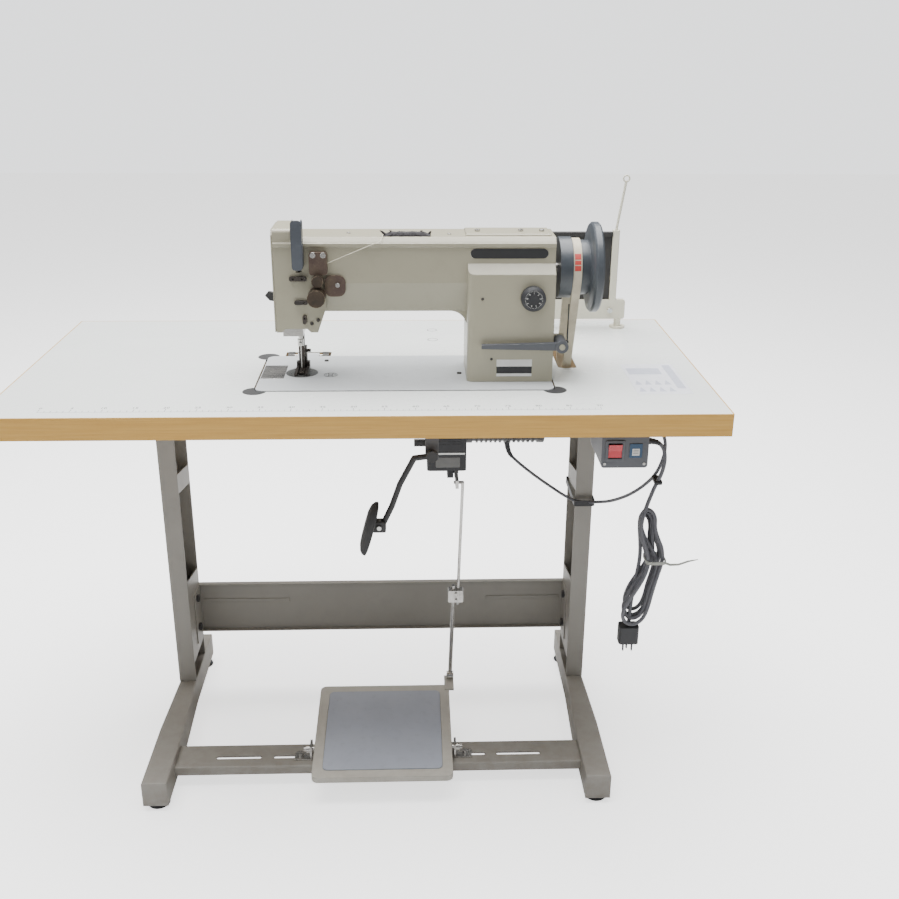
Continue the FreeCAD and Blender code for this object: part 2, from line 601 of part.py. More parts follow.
def pitman_clamp():
    """Block with two screws that joins the two rods at the length that is wanted."""
    low = pitman_point(CLAMP_Z, 0)
    high = pitman_point(CLAMP_Z, ROD_OFFSET)
    middle_x = (low[0] + high[0]) / 2
    body = soft_block(middle_x - 15, middle_x + 15, low[1] - 9, low[1] + 9,
                      CLAMP_Z - 13, CLAMP_Z + 13, 3.0, "y")
    screws = [pin("y", middle_x + 0.5, CLAMP_Z + dz, low[1] - 13, low[1] - 9, 2.5) for dz in (-7, 7)]
    bores = [slanted_rod(pitman_point(CLAMP_Z - 30, offset), pitman_point(CLAMP_Z + 30, offset), radius)
             for offset, radius in ((0, LOWER_ROD_RADIUS), (ROD_OFFSET, UPPER_ROD_RADIUS))]
    return less(joined(body, *screws), *bores)


LEVER_X0 = LEVER_PIN_X - 14.0
LEVER_X1 = LEVER_PIN_X - 8.0
LEVER_SHAFT_RADIUS = 5.0


def treadle_lever():
    """Slotted lever that turns the motor's speed sensor."""
    hub = pin("x", LEVER_PIVOT_Y, LEVER_PIN_Z, LEVER_X0, LEVER_X1, 11.0)
    arm = block(LEVER_X0, LEVER_X1, LEVER_PIN_Y - 12, LEVER_PIVOT_Y, LEVER_PIN_Z - 8, LEVER_PIN_Z + 8)
    slot = soft_block(LEVER_X0 - 1, LEVER_X1 + 1, LEVER_PIN_Y - 8.5, LEVER_PIN_Y + 8.5,
                      LEVER_PIN_Z - 5, LEVER_PIN_Z + 5, 4.5, "x")
    bore = pin("x", LEVER_PIVOT_Y, LEVER_PIN_Z, LEVER_X0 - 1, LEVER_X1 + 1, LEVER_SHAFT_RADIUS + RUN_FIT)
    return less(joined(hub, arm), slot, bore)


save("pedal_frame", pedal_frame())
save("pedal_mat", pedal_mat())
save("pedal_brackets", *pedal_brackets())
save("ball_stud", ball_stud())
save("pitman_rods", pitman_lower_rod(), pitman_upper_rod(), pitman_clamp())
save("treadle_lever", treadle_lever())


# ---------------------------------------------------------------- motor and belt
MOTOR_RIGHT = MOTOR_LEFT + MOTOR_LENGTH
MOTOR_SHAFT_RADIUS = 7.0
INLET_DROP = 4.0
MOTOR_INLET = (MOTOR_LEFT + 84.0, MOTOR_Y, MOTOR_Z - MOTOR_RADIUS - INLET_DROP)
PULLEY_HALF = 10.5


def motor_body():
    """Finned servo motor with its two end caps and a bracket up to the table."""
    barrel = pin("x", MOTOR_Y, MOTOR_Z, MOTOR_LEFT, MOTOR_RIGHT, MOTOR_RADIUS - 3)
    fins = [pin("x", MOTOR_Y, MOTOR_Z, x, x + 3, MOTOR_RADIUS)
            for x in (MOTOR_LEFT + 22 + 9 * k for k in range(13))]
    caps = [pin("x", MOTOR_Y, MOTOR_Z, MOTOR_LEFT, MOTOR_LEFT + 14, MOTOR_RADIUS),
            pin("x", MOTOR_Y, MOTOR_Z, MOTOR_RIGHT - 12, MOTOR_RIGHT, MOTOR_RADIUS)]
    gland = pin("z", MOTOR_INLET[0], MOTOR_Y, MOTOR_INLET[2], MOTOR_Z - MOTOR_RADIUS + 6,
                LEAD_DIAMETER / 2 + 3)
    return less(joined(barrel, *fins, *caps, gland),
                pin("x", MOTOR_Y, MOTOR_Z, MOTOR_RIGHT - 30, MOTOR_RIGHT + 1, MOTOR_SHAFT_RADIUS + RUN_FIT))


def motor_bracket():
    """Base plate under the table and the web the motor hangs from."""
    plate = soft_block(MOTOR_LEFT + 4, MOTOR_RIGHT - 6, MOTOR_Y - 4, MOTOR_Y + 96,
                       TABLE_UNDER - 8, TABLE_UNDER, 10.0)
    webs = [block(x, x + 8, MOTOR_Y, MOTOR_Y + 50, MOTOR_Z + MOTOR_RADIUS - 22, TABLE_UNDER - 7)
            for x in (MOTOR_LEFT + 3, MOTOR_RIGHT - 11)]
    bolts = [pin("z", x, MOTOR_Y + y, TABLE_UNDER - 14, TABLE_UNDER - 8, 7.0)
             for x in (MOTOR_LEFT + 26, MOTOR_RIGHT - 30) for y in (64, 84)]
    grip = pin("x", MOTOR_Y, MOTOR_Z, MOTOR_LEFT - 1, MOTOR_RIGHT + 1, MOTOR_RADIUS)
    return less(joined(plate, *webs, *bolts), grip)


def motor_pulley():
    groove = BELT_WIDTH / 2 + 0.3
    left = BELT_MIDDLE_X - PULLEY_HALF
    right = BELT_MIDDLE_X + PULLEY_HALF
    profile = [(left, 0), (left, MOTOR_PULLEY_RADIUS), (BELT_MIDDLE_X - groove, MOTOR_PULLEY_RADIUS),
               (BELT_MIDDLE_X - groove, MOTOR_GROOVE_RADIUS), (BELT_MIDDLE_X + groove, MOTOR_GROOVE_RADIUS),
               (BELT_MIDDLE_X + groove, MOTOR_PULLEY_RADIUS), (right, MOTOR_PULLEY_RADIUS), (right, 0)]
    shaft = pin("x", MOTOR_Y, MOTOR_Z, MOTOR_RIGHT - 29, BELT_MIDDLE_X + PULLEY_HALF + 4, MOTOR_SHAFT_RADIUS)
    return joined(turned(profile, MOTOR_Y, MOTOR_Z), shaft)


def control_box():
    """Motor's control box, with the lug and shaft that the treadle lever turns on."""
    case = soft_block(CONTROL_LEFT, CONTROL_RIGHT, CONTROL_FRONT, CONTROL_REAR,
                      CONTROL_BOTTOM, CONTROL_TOP, 6.0)
    lug = block(LEVER_X0 - 14, LEVER_X0 - 2, LEVER_PIVOT_Y - 12, LEVER_PIVOT_Y + 12,
                LEVER_PIN_Z - 10, CONTROL_BOTTOM + 1)
    shaft = pin("x", LEVER_PIVOT_Y, LEVER_PIN_Z, LEVER_X0 - 14, LEVER_X1 + 2, LEVER_SHAFT_RADIUS)
    return joined(case, lug, shaft)


def v_belt():
    return belt_loop((HEAD_Y, SHAFT_Z), WHEEL_GROOVE_RADIUS + PIECE_GAP, (MOTOR_Y, MOTOR_Z),
                     MOTOR_GROOVE_RADIUS + PIECE_GAP, BELT_MIDDLE_X - BELT_WIDTH / 2,
                     BELT_MIDDLE_X + BELT_WIDTH / 2, BELT_THICK)


PAN_DEPTH = 31.0
PAN_WALL = 2.0
PAN_MARGIN = 8.0


def oil_pan():
    """Drip pan under the cut-out."""
    x0, x1 = CUT_LEFT - PAN_MARGIN, CUT_RIGHT + PAN_MARGIN
    y0, y1 = CUT_FRONT - PAN_MARGIN, CUT_REAR + PAN_MARGIN
    outer = soft_block(x0, x1, y0, y1, TABLE_UNDER - PAN_DEPTH, TABLE_UNDER, 12.0)
    inner = soft_block(x0 + PAN_WALL, x1 - PAN_WALL, y0 + PAN_WALL, y1 - PAN_WALL,
                       TABLE_UNDER - PAN_DEPTH + PAN_WALL, TABLE_UNDER + 1, 10.0)
    return less(outer, inner)


save("motor_body", motor_body())
save("motor_bracket", motor_bracket())
save("motor_pulley", motor_pulley())
save("control_box", control_box())
save("v_belt", v_belt())
save("oil_pan", oil_pan())


# ---------------------------------------------------------------- knee lifter
KNEE_X = 118.0
KNEE_Z = TABLE_UNDER - 55.0
KNEE_SHAFT_RADIUS = 6.0
KNEE_BEARING_REAR = CUT_FRONT - PAN_MARGIN - 4.0
KNEE_BEARING_FRONT = KNEE_BEARING_REAR - 46.0
KNEE_FRONT = KNEE_BEARING_FRONT - 6.0
KNEE_ROD_RADIUS = 5.0
KNEE_PAD_X = KNEE_X - 102.0
KNEE_PAD_WIDTH = 62.0
KNEE_PAD_HEIGHT = 100.0
KNEE_PAD_TOP = KNEE_Z - 82.0
KNEE_PAD_LEAN = 14.0


def knee_bracket():
    """Bearing block for the knee lifter's shaft, screwed under the table."""
    y0, y1 = KNEE_BEARING_FRONT, KNEE_BEARING_REAR
    base = block(KNEE_X - 24, KNEE_X + 24, y0, y1, TABLE_UNDER - 5, TABLE_UNDER)
    web = block(KNEE_X - 11, KNEE_X + 11, y0 + 6, y1 - 6, KNEE_Z - 11, TABLE_UNDER - 4)
    bore = pin("y", KNEE_X, KNEE_Z, y0 - 1, y1 + 1, KNEE_SHAFT_RADIUS + RUN_FIT)
    screws = [pin("z", KNEE_X + dx, (y0 + y1) / 2, TABLE_UNDER - 8, TABLE_UNDER - 5, 4.0) for dx in (-18, 18)]
    return less(joined(base, web, *screws), bore)


def knee_rod():
    """Shaft, bent rod down to the knee pad, and the crank under the bed."""
    shaft = pin("y", KNEE_X, KNEE_Z, KNEE_FRONT, KNEE_BEARING_REAR + 18, KNEE_SHAFT_RADIUS)
    hub = pin("y", KNEE_X, KNEE_Z, KNEE_FRONT - 4, KNEE_FRONT + 5, 10.0)
    bends = [(0, 2, 0), (-30, 2, -4), (-54, 1, -50), (-68, 0, -90), (-84, -1, -124)]
    route = [(KNEE_X + dx, KNEE_FRONT + dy, KNEE_Z + dz) for dx, dy, dz in bends]
    pieces = [shaft, hub]
    for start, end in zip(route, route[1:]):
        pieces.append(slanted_rod(start, end, KNEE_ROD_RADIUS))
        pieces.append(Part.makeSphere(KNEE_ROD_RADIUS, FreeCAD.Vector(*end)))
    crank = block(KNEE_X - 30, KNEE_X + 5, KNEE_BEARING_REAR + 6, KNEE_BEARING_REAR + 16,
                  KNEE_Z - 5, KNEE_Z + 5)
    return joined(*pieces, crank)


def knee_pad():
    """Curved pad plate with its rubber face, clamped on the rod's lower end."""
    half = KNEE_PAD_LEAN / 2
    top = KNEE_PAD_TOP
    bottom = top - KNEE_PAD_HEIGHT
    corners = [(KNEE_PAD_X - 10 - half, bottom), (KNEE_PAD_X - half, bottom),
               (KNEE_PAD_X + 8 + half, top), (KNEE_PAD_X - 4 + half, top)]
    y0 = KNEE_FRONT - KNEE_PAD_WIDTH / 2 - 1
    pad = prism("y", corners, y0, y0 + KNEE_PAD_WIDTH)
    socket = block(KNEE_PAD_X - 2, KNEE_PAD_X + 24, KNEE_FRONT - 10, KNEE_FRONT + 8, bottom + 46, bottom + 66)
    return joined(pad, socket)


save("knee_bracket", knee_bracket())
save("knee_rod", knee_rod())
save("knee_pad", less(knee_pad(), knee_rod()))


# ---------------------------------------------------------------- switch, leads and plug
SWITCH_LEFT = CUT_RIGHT + PAN_MARGIN + 55.0
SWITCH_RIGHT = SWITCH_LEFT + 77.0
SWITCH_FRONT = -278.0
SWITCH_REAR = -172.0
SWITCH_BOTTOM = TABLE_UNDER - 62.0
ROCKER_X = SWITCH_LEFT + 22.0
ROCKER_Z = TABLE_UNDER - 32.0
ROCKER_HALF_WIDTH = 11.0
ROCKER_HALF_HEIGHT = 12.5
ROCKER_PIN_Y = SWITCH_FRONT + 1.0
ROCKER_PIN_RADIUS = 1.5
ROCKER_PIN_OUT = 3.0
LEAD_EXIT = (-197.0, TABLE_UNDER - 21.0)
MAINS_EXIT = (-215.0, TABLE_UNDER - 39.0)
HANK_TOP = 566.0
HANK_BOTTOM = 322.0
HANK_Y = -200.0
HANK_HALF = 17.0
PLUG_X = 478.0


def switch_box():
    """Moulded switch housing with a bezel round the rocker and two cable glands."""
    case = soft_block(SWITCH_LEFT, SWITCH_RIGHT, SWITCH_FRONT, SWITCH_REAR,
                      SWITCH_BOTTOM, TABLE_UNDER, 5.0, "y")
    bezel = soft_block(ROCKER_X - 16, ROCKER_X + 16, SWITCH_FRONT - 2, SWITCH_FRONT + 1,
                       ROCKER_Z - 18, ROCKER_Z + 18, 2.0, "y")
    plate = soft_block(SWITCH_RIGHT - 32, SWITCH_RIGHT - 10, SWITCH_FRONT - 0.8, SWITCH_FRONT + 1,
                       ROCKER_Z - 12.5, ROCKER_Z + 12.5, 1.5, "y")
    pocket = block(ROCKER_X - ROCKER_HALF_WIDTH - PIECE_GAP, ROCKER_X + ROCKER_HALF_WIDTH + PIECE_GAP,
                   SWITCH_FRONT - 3, SWITCH_FRONT + 14, ROCKER_Z - ROCKER_HALF_HEIGHT - 3 * PIECE_GAP,
                   ROCKER_Z + ROCKER_HALF_HEIGHT + 3 * PIECE_GAP)
    glands = [pin("x", y, z, SWITCH_RIGHT - 1, SWITCH_RIGHT + 9, radius + 3)
              for (y, z), radius in ((LEAD_EXIT, LEAD_DIAMETER / 2), (MAINS_EXIT, CORD_DIAMETER / 2))]
    reach = ROCKER_HALF_WIDTH + ROCKER_PIN_OUT + 1
    bore_radius = ROCKER_PIN_RADIUS + RUN_FIT
    pin_bore = pin("x", ROCKER_PIN_Y, ROCKER_Z, ROCKER_X - reach, ROCKER_X + reach, bore_radius)
    return less(joined(case, bezel, plate, *glands), pocket, pin_bore)


def rocker_switch():
    """Rocker key, lower half pressed in; it turns on a cross pin through its middle."""
    y = SWITCH_FRONT
    profile = [(y - 5.0, ROCKER_Z + ROCKER_HALF_HEIGHT - 0.6), (y - 1.5, ROCKER_Z),
               (y - 1.2, ROCKER_Z - ROCKER_HALF_HEIGHT + 0.8), (y + 5.0, ROCKER_Z - ROCKER_HALF_HEIGHT + 3.0),
               (y + 8.0, ROCKER_Z), (y + 5.0, ROCKER_Z + ROCKER_HALF_HEIGHT - 3.0)]
    key = prism("x", profile, ROCKER_X - ROCKER_HALF_WIDTH, ROCKER_X + ROCKER_HALF_WIDTH)
    reach = ROCKER_HALF_WIDTH + ROCKER_PIN_OUT
    cross_pin = pin("x", ROCKER_PIN_Y, ROCKER_Z, ROCKER_X - reach, ROCKER_X + reach, ROCKER_PIN_RADIUS)
    return joined(key, cross_pin)


GLAND_END = SWITCH_RIGHT + 9.0
LEAD_ROUTE = [
    (GLAND_END, -197, 706), (499, -197, 706), (515, -196.5, 692), (520, -196, 668), (516, -194, 640),
    (507, -186, 611), (494, -155, 577), (481, -118, 546), (468, -76, 518), (458, -33, 494), (448, 3, 477),
    (430, 22, 468), (408, 24, 469), (386, 32, 477), (362, 38, 492), (336, 44, 509), (311, 49, 527),
    (289, 53, 545), (272, 55.5, 562), MOTOR_INLET,
]

MAINS_ROUTE = [
    (GLAND_END, -215, 688), (497, -215, 688), (511, -214.5, 677), (516, -213.5, 658), (515, -212, 637),
    (510, -209, 616), (502, -204.5, 594), (496, HANK_Y, HANK_TOP),
]


def cord_hank():
    """Outer shape of the folded and tied spare cord that hangs below the switch box."""
    outline = [(480, HANK_TOP), (512, HANK_TOP), (517, 520), (533, 492), (535, 456), (526, 418),
               (515, 352), (498, HANK_BOTTOM), (460, HANK_BOTTOM), (456, 350), (464, 400), (484, 456),
               (477, 520)]
    return prism("y", outline, HANK_Y - HANK_HALF, HANK_Y + HANK_HALF)


def plug():
    """Moulded three-pin plug that hangs from the hank, pins down."""
    body = soft_block(PLUG_X - 18, PLUG_X + 18, HANK_Y - 13, HANK_Y + 13, HANK_BOTTOM - 34, HANK_BOTTOM, 6.0)
    pins = [block(PLUG_X + dx - 1, PLUG_X + dx + 1, HANK_Y + dy - 3, HANK_Y + dy + 3,
                  HANK_BOTTOM - 52, HANK_BOTTOM - 33) for dx, dy in ((-8, -2), (8, -2), (0, 6))]
    return joined(body, *pins)


save("switch_box", switch_box())
save("rocker_switch", rocker_switch())
cord("motor_lead", LEAD_ROUTE, LEAD_DIAMETER)
cord("mains_cord", MAINS_ROUTE, CORD_DIAMETER)
save("cord_hank", cord_hank())
save("plug", plug())


# ---------------------------------------------------------------- rear guard and thread stand
GUARD_Y = 238.0
GUARD_HALF = 6.0
GUARD_LEFT = COLUMN_RIGHT + 12.0
UPRIGHT_WIDTH = 14.0
UPRIGHT_LEFT = TABLE_LENGTH / 2 - 113.0
UPRIGHT_RIGHT = UPRIGHT_LEFT + UPRIGHT_WIDTH
GUARD_RIGHT = UPRIGHT_RIGHT + 19.0
GUARD_TOP = TABLE_TOP + 199.0
GUARD_BAR_BOTTOM = TABLE_TOP + 19.0
GUARD_BAR_TOP = TABLE_TOP + 59.0
GUARD_POST_RADIUS = 7.0
STAND_ROD_TOP = TABLE_TOP + 301.0
STAND_ROD_LEAN = 14.0


def guard_frame():
    """Painted upright and bottom bar on two posts with washer feet."""
    y0, y1 = GUARD_Y - GUARD_HALF, GUARD_Y + GUARD_HALF
    upright = soft_block(UPRIGHT_LEFT, UPRIGHT_RIGHT, y0, y1, GUARD_BAR_BOTTOM, GUARD_TOP, 2.0)
    bar = soft_block(GUARD_LEFT, GUARD_RIGHT, y0, y1, GUARD_BAR_BOTTOM, GUARD_BAR_TOP, 5.0, "y")
    pieces = [upright, bar]
    for x in (GUARD_LEFT + 17, GUARD_RIGHT - 13):
        pieces.append(pin("z", x, GUARD_Y, TABLE_TOP + 4, GUARD_BAR_BOTTOM + 1, GUARD_POST_RADIUS))
        pieces.append(pin("z", x, GUARD_Y, TABLE_TOP, TABLE_TOP + 4, GUARD_POST_RADIUS + 8.5))
    pieces.append(pin("y", UPRIGHT_LEFT + 2, GUARD_BAR_BOTTOM + 18, y0 - 3, y0 + 1, 5.0))
    return joined(*pieces)


def guard_panel():
    """Black sheet panel with a folded top rail, fixed to the upright."""
    x0 = GUARD_LEFT + 10
    sheet = block(x0, UPRIGHT_LEFT, GUARD_Y - 1.5, GUARD_Y + 1.5, GUARD_BAR_TOP, GUARD_TOP - 10)
    rail = block(x0, UPRIGHT_LEFT, GUARD_Y - 7, GUARD_Y + 7, GUARD_TOP - 12, GUARD_TOP - 4)
    return joined(sheet, rail)


def stand_rod():
    """Thin rod above the upright with the looped thread guide at its top."""
    foot_x = UPRIGHT_LEFT + UPRIGHT_WIDTH / 2
    top_x = foot_x + STAND_ROD_LEAN
    rod = slanted_rod((foot_x, GUARD_Y, GUARD_TOP), (top_x, GUARD_Y, STAND_ROD_TOP - 6), 2.5)
    middle = FreeCAD.Vector(top_x, GUARD_Y, STAND_ROD_TOP - 2)
    loop = Part.makeTorus(6.0, 1.5, middle, FreeCAD.Vector(0, 1, 0))
    return joined(rod, loop)


save("guard_frame", guard_frame(), stand_rod())
save("guard_panel", guard_panel())


# ---------------------------------------------------------------- bed
BEARING_XS = (ARM_LEFT + 84.0, COLUMN_LEFT - 11.0)
SLIDE_LEFT = BED_LEFT + 2.0
SLIDE_RIGHT = NEEDLE_X - 29.0
SLIDE_FRONT = HEAD_Y - 38.0
SLIDE_REAR = HEAD_Y + 38.0
SLIDE_FLOOR = TABLE_TOP + 0.3
SLIDE_TOP = BED_TOP + 0.8
FEED_SLOT = (NEEDLE_X - 5.0, NEEDLE_X + 5.0, NEEDLE_Y - 16.0, NEEDLE_Y + 22.0)
COLUMN_BASE_WALL = 14.0
FEED_STROKE = 3.0
NEEDLE_HOLE = 1.7


def bed_plate():
    """Bed casting: top plate, skirt, hook-shaft bearings and the hinge knuckles."""
    outer = soft_block(BED_LEFT, BED_RIGHT, BED_FRONT, BED_REAR, BED_BOTTOM, BED_TOP, BED_CORNER)
    inner = soft_block(BED_LEFT + BED_WALL, BED_RIGHT - BED_WALL, BED_FRONT + BED_WALL, BED_REAR - BED_WALL,
                       BED_BOTTOM - 1, BED_UNDER, BED_CORNER - BED_WALL)
    pieces = [less(outer, inner)]
    for x in BEARING_XS:
        pieces.append(block(x - 10, x + 10, HEAD_Y - 15, HEAD_Y + 15, HOOK_Z - 14, BED_UNDER + 1))
    for x in HINGE_XS:
        pieces.append(block(x - 20, x + 20, BED_REAR - 2, HINGE_Y, HINGE_Z - 4, BED_TOP))
        pieces.append(pin("x", HINGE_Y, HINGE_Z, x - 20, x + 20, 5.5))
    cuts = [
        pin("z", NEEDLE_X, NEEDLE_Y, BED_TOP - PLATE_THICK, BED_TOP + 1, PLATE_RADIUS),
        pin("z", NEEDLE_X, NEEDLE_Y, BED_UNDER - 1, BED_TOP + 1, PLATE_RADIUS - 4),
        block(BED_LEFT - 1, SLIDE_RIGHT, SLIDE_FRONT, SLIDE_REAR, SLIDE_FLOOR, BED_TOP + 1),
        block(BED_LEFT + 14, NEEDLE_X - 16, HEAD_Y - 27, HEAD_Y + 27, BED_UNDER - 1, SLIDE_FLOOR + 0.1),
        block(COLUMN_LEFT + COLUMN_BASE_WALL, COLUMN_RIGHT - COLUMN_BASE_WALL,
              COLUMN_FRONT + COLUMN_BASE_WALL,
              COLUMN_REAR - COLUMN_BASE_WALL, BED_UNDER - 1, BED_TOP + 1),
    ]
    cuts += [pin("x", HEAD_Y, HOOK_Z, x - 11, x + 11, HOOK_SHAFT_RADIUS + RUN_FIT) for x in BEARING_XS]
    cuts += [pin("x", HINGE_Y, HINGE_Z, x - 21, x + 21, HINGE_PIN_RADIUS + RUN_FIT) for x in HINGE_XS]
    return less(joined(*pieces), *cuts)


def needle_plate():
    disc = pin("z", NEEDLE_X, NEEDLE_Y, BED_TOP - PLATE_THICK, BED_TOP + 0.4, PLATE_RADIUS)
    x0, x1, y0, y1 = FEED_SLOT
    return less(disc, soft_block(x0, x1, y0, y1, BED_TOP - 5, BED_TOP + 5, 3.0))


def slide_plate():
    """Thin cover over the bobbin; it slides to the left."""
    plate = block(SLIDE_LEFT, SLIDE_RIGHT - PIECE_GAP, SLIDE_FRONT + PIECE_GAP, SLIDE_REAR - PIECE_GAP,
                  SLIDE_FLOOR + 0.1, SLIDE_TOP)
    bite = pin("z", NEEDLE_X, NEEDLE_Y, SLIDE_FLOOR - 1, SLIDE_TOP + 1, PLATE_RADIUS + PIECE_GAP)
    grip = pin("z", SLIDE_LEFT + 14, (SLIDE_FRONT + SLIDE_REAR) / 2, SLIDE_TOP - 0.6, SLIDE_TOP + 1, 3.5)
    return less(plate, bite, grip)


def hook():
    """Rotary hook with its bobbin case, on the left end of its shaft."""
    x0 = NEEDLE_X - 34.0
    x1 = NEEDLE_X - 14.0
    cup = less(pin("x", HEAD_Y, HOOK_Z, x0, x1, HOOK_RADIUS),
               pin("x", HEAD_Y, HOOK_Z, x0 - 1, x0 + 13, HOOK_RADIUS - 3))
    bobbin = pin("x", HEAD_Y, HOOK_Z, x0 + 2, x0 + 14, HOOK_RADIUS - 6)
    notch = prism("x", [(HEAD_Y - 2, HOOK_Z + 12), (HEAD_Y + 16, HOOK_Z + 30), (HEAD_Y - 6, HOOK_Z + 30)],
                  x1 - 7, x1 + 1)
    return less(joined(cup, bobbin), notch)


LOWER_GEAR_X = COLUMN_RIGHT - 66.0
LOWER_GEAR_RADIUS = 14.0
GEAR_WIDTH = 12.0
TIMING_THICK = 2.5
UPPER_GEAR_RADIUS = ARM_HALF_DEPTH - CASTING_WALL - TIMING_THICK - 7.5


def hook_shaft():
    """Lower shaft with its toothed pulley."""
    shaft = pin("x", HEAD_Y, HOOK_Z, NEEDLE_X - 14.0, LOWER_GEAR_X + GEAR_WIDTH, HOOK_SHAFT_RADIUS)
    return joined(shaft, pin("x", HEAD_Y, HOOK_Z, LOWER_GEAR_X, LOWER_GEAR_X + GEAR_WIDTH, LOWER_GEAR_RADIUS))


def timing_belt():
    """Toothed belt inside the column, from the main shaft down to the hook shaft."""
    return belt_loop((HEAD_Y, SHAFT_Z), UPPER_GEAR_RADIUS + PIECE_GAP, (HEAD_Y, HOOK_Z),
                     LOWER_GEAR_RADIUS + PIECE_GAP, LOWER_GEAR_X + 1, LOWER_GEAR_X + GEAR_WIDTH - 1,
                     TIMING_THICK)


def feed_dog():
    """Toothed feed bar with its needle hole, on its carrier under the plate."""
    x0, x1, y0, y1 = FEED_SLOT
    teeth = block(x0 + 1, x1 - 1, y0 + 5, y1 - 5, BED_TOP - 9, BED_TOP + 0.6)
    carrier = block(x0 - 3, x1 + 3, y0 + 3, y1 - 3, BED_TOP - 16, BED_TOP - 8)
    grooves = [block(x0, x1, y, y + 0.9, BED_TOP - 0.2, BED_TOP + 1)
               for y in (y0 + 6.5 + 1.8 * k for k in range(14))]
    reach = FEED_STROKE + NEEDLE_HOLE + PIECE_GAP
    needle_hole = soft_block(NEEDLE_X - NEEDLE_HOLE, NEEDLE_X + NEEDLE_HOLE,
                             NEEDLE_Y - reach, NEEDLE_Y + reach, BED_TOP - 20, BED_TOP + 2, NEEDLE_HOLE - 0.1)
    return less(joined(teeth, carrier), needle_hole, *grooves)


save("bed_plate", bed_plate())
save("needle_plate", needle_plate())
save("slide_plate", slide_plate())
save("hook_shaft", hook_shaft(), hook())
save("timing_belt", timing_belt())
save("feed_dog", feed_dog())


# ---------------------------------------------------------------- arm casting
HUMP_RIGHT = ARM_LEFT + 30.0
HUMP_RISE = 14.0
FACE_THICK = 3.0
BULKHEAD_X = ARM_LEFT + 48.0
TAKE_UP_X = NEEDLE_X + 7.0
TAKE_UP_PIVOT = (HEAD_Y - 14.0, ARM_TOP - 22.0)
TAKE_UP_SLOT_HALF = 4.0
TAKE_UP_SLOT_BOTTOM = ARM_TOP - 58.0
ARM_BEVEL = 8.0
LEDGE_OUT = 3.0
LUG_X = COLUMN_RIGHT + 13.0
LUG_Z = TABLE_TOP + 67.0
LUG_PIN_RADIUS = 5.0
TENSION_X = HEAD_RIGHT - 14.6
TENSION_Z = ARM_TOP - 95.0
TENSION_RADIUS = 15.0
PRE_TENSION_X = HEAD_RIGHT - 12.0
PRE_TENSION_Z = ARM_TOP - 68.0
PRE_TENSION_RADIUS = 10.0
DIAL_X = COLUMN_RIGHT - 38.0
DIAL_Z = COLUMN_SHOULDER - 39.0
DIAL_RADIUS = 21.0
POST_RADIUS = 3.0
PAD_LEFT = HEAD_RIGHT + 95.0
PAD_LENGTH = 83.0


def arm_outline(inset):
    """Arm section in the YZ plane: flat front above the crease, drawn in below it."""
    front = ARM_FRONT + inset
    rear = ARM_REAR - inset
    low = ARM_UNDER + inset
    high = ARM_TOP - inset
    tuck = 17.0
    half = [(front + tuck, low), (front, ARM_CREASE), (front, high - ARM_BEVEL - 8)]
    if inset == 0:
        half += [(front - LEDGE_OUT, high - ARM_BEVEL - 6), (front - LEDGE_OUT, high - ARM_BEVEL - 1),
                 (front - 0.5, high - ARM_BEVEL)]
    half += [(front, high - ARM_BEVEL + 1), (front + ARM_BEVEL, high)]
    other = [(rear - ARM_BEVEL, high), (rear, high - ARM_BEVEL), (rear, ARM_CREASE), (rear - tuck, low)]
    return half + other


def column():
    """Upright with the bevelled shoulder where its wider body meets the arm."""
    x0 = COLUMN_LEFT - 3.0
    corner = 10.0
    body = block(x0, COLUMN_RIGHT, COLUMN_FRONT, COLUMN_REAR, BED_TOP, COLUMN_SHOULDER + 17)
    uprights = [e for e in body.Edges if abs(e.tangentAt(0).z) > 0.9 and e.CenterOfMass.x < x0 + 1]
    body = body.makeFillet(corner, uprights)
    bevels = []
    for y, way in ((COLUMN_FRONT, 1), (COLUMN_REAR, -1)):
        corners = [(y - way * 1, COLUMN_SHOULDER), (y, COLUMN_SHOULDER), (y + way * 16, COLUMN_SHOULDER + 17),
                   (y + way * 16, COLUMN_SHOULDER + 18), (y - way * 1, COLUMN_SHOULDER + 18)]
        bevels.append(prism("x", corners, x0 - 1, COLUMN_RIGHT + 1))
    return less(body, *bevels)


def head_block():
    """Left end of the arm, down to the bars, tapered at its lower right corner."""
    outline = [(ARM_LEFT, HEAD_BOTTOM), (ARM_LEFT + 10, HEAD_BOTTOM), (ARM_LEFT + 14, HEAD_BOTTOM + 6),
               (HEAD_RIGHT - 34, HEAD_BOTTOM + 6), (HEAD_RIGHT - 28, HEAD_BOTTOM),
               (HEAD_RIGHT - 16, HEAD_BOTTOM),
               (HEAD_RIGHT, HEAD_BOTTOM + 45), (HEAD_RIGHT, ARM_TOP - 12), (ARM_LEFT, ARM_TOP - 12)]
    lower = prism("y", outline, ARM_FRONT, ARM_REAR)
    cap = block(ARM_LEFT, HUMP_RIGHT, ARM_FRONT, ARM_REAR, ARM_TOP - 14, ARM_TOP + HUMP_RISE)
    top_edges = [e for e in cap.Edges if e.CenterOfMass.z > ARM_TOP + HUMP_RISE - 1
                 and abs(e.tangentAt(0).x) > 0.9]
    return joined(lower, cap.makeFillet(7.0, top_edges))


def underarm_fillet():
    """Round web in the corner between the arm's underside and the column."""
    radius = 30.0
    x1 = COLUMN_LEFT - 2.0
    web = block(x1 - radius, x1 + 2, ARM_FRONT + 17, ARM_REAR - 17, ARM_UNDER - radius, ARM_UNDER + 1)
    return less(web, pin("y", x1 - radius, ARM_UNDER - radius, ARM_FRONT, ARM_REAR, radius))


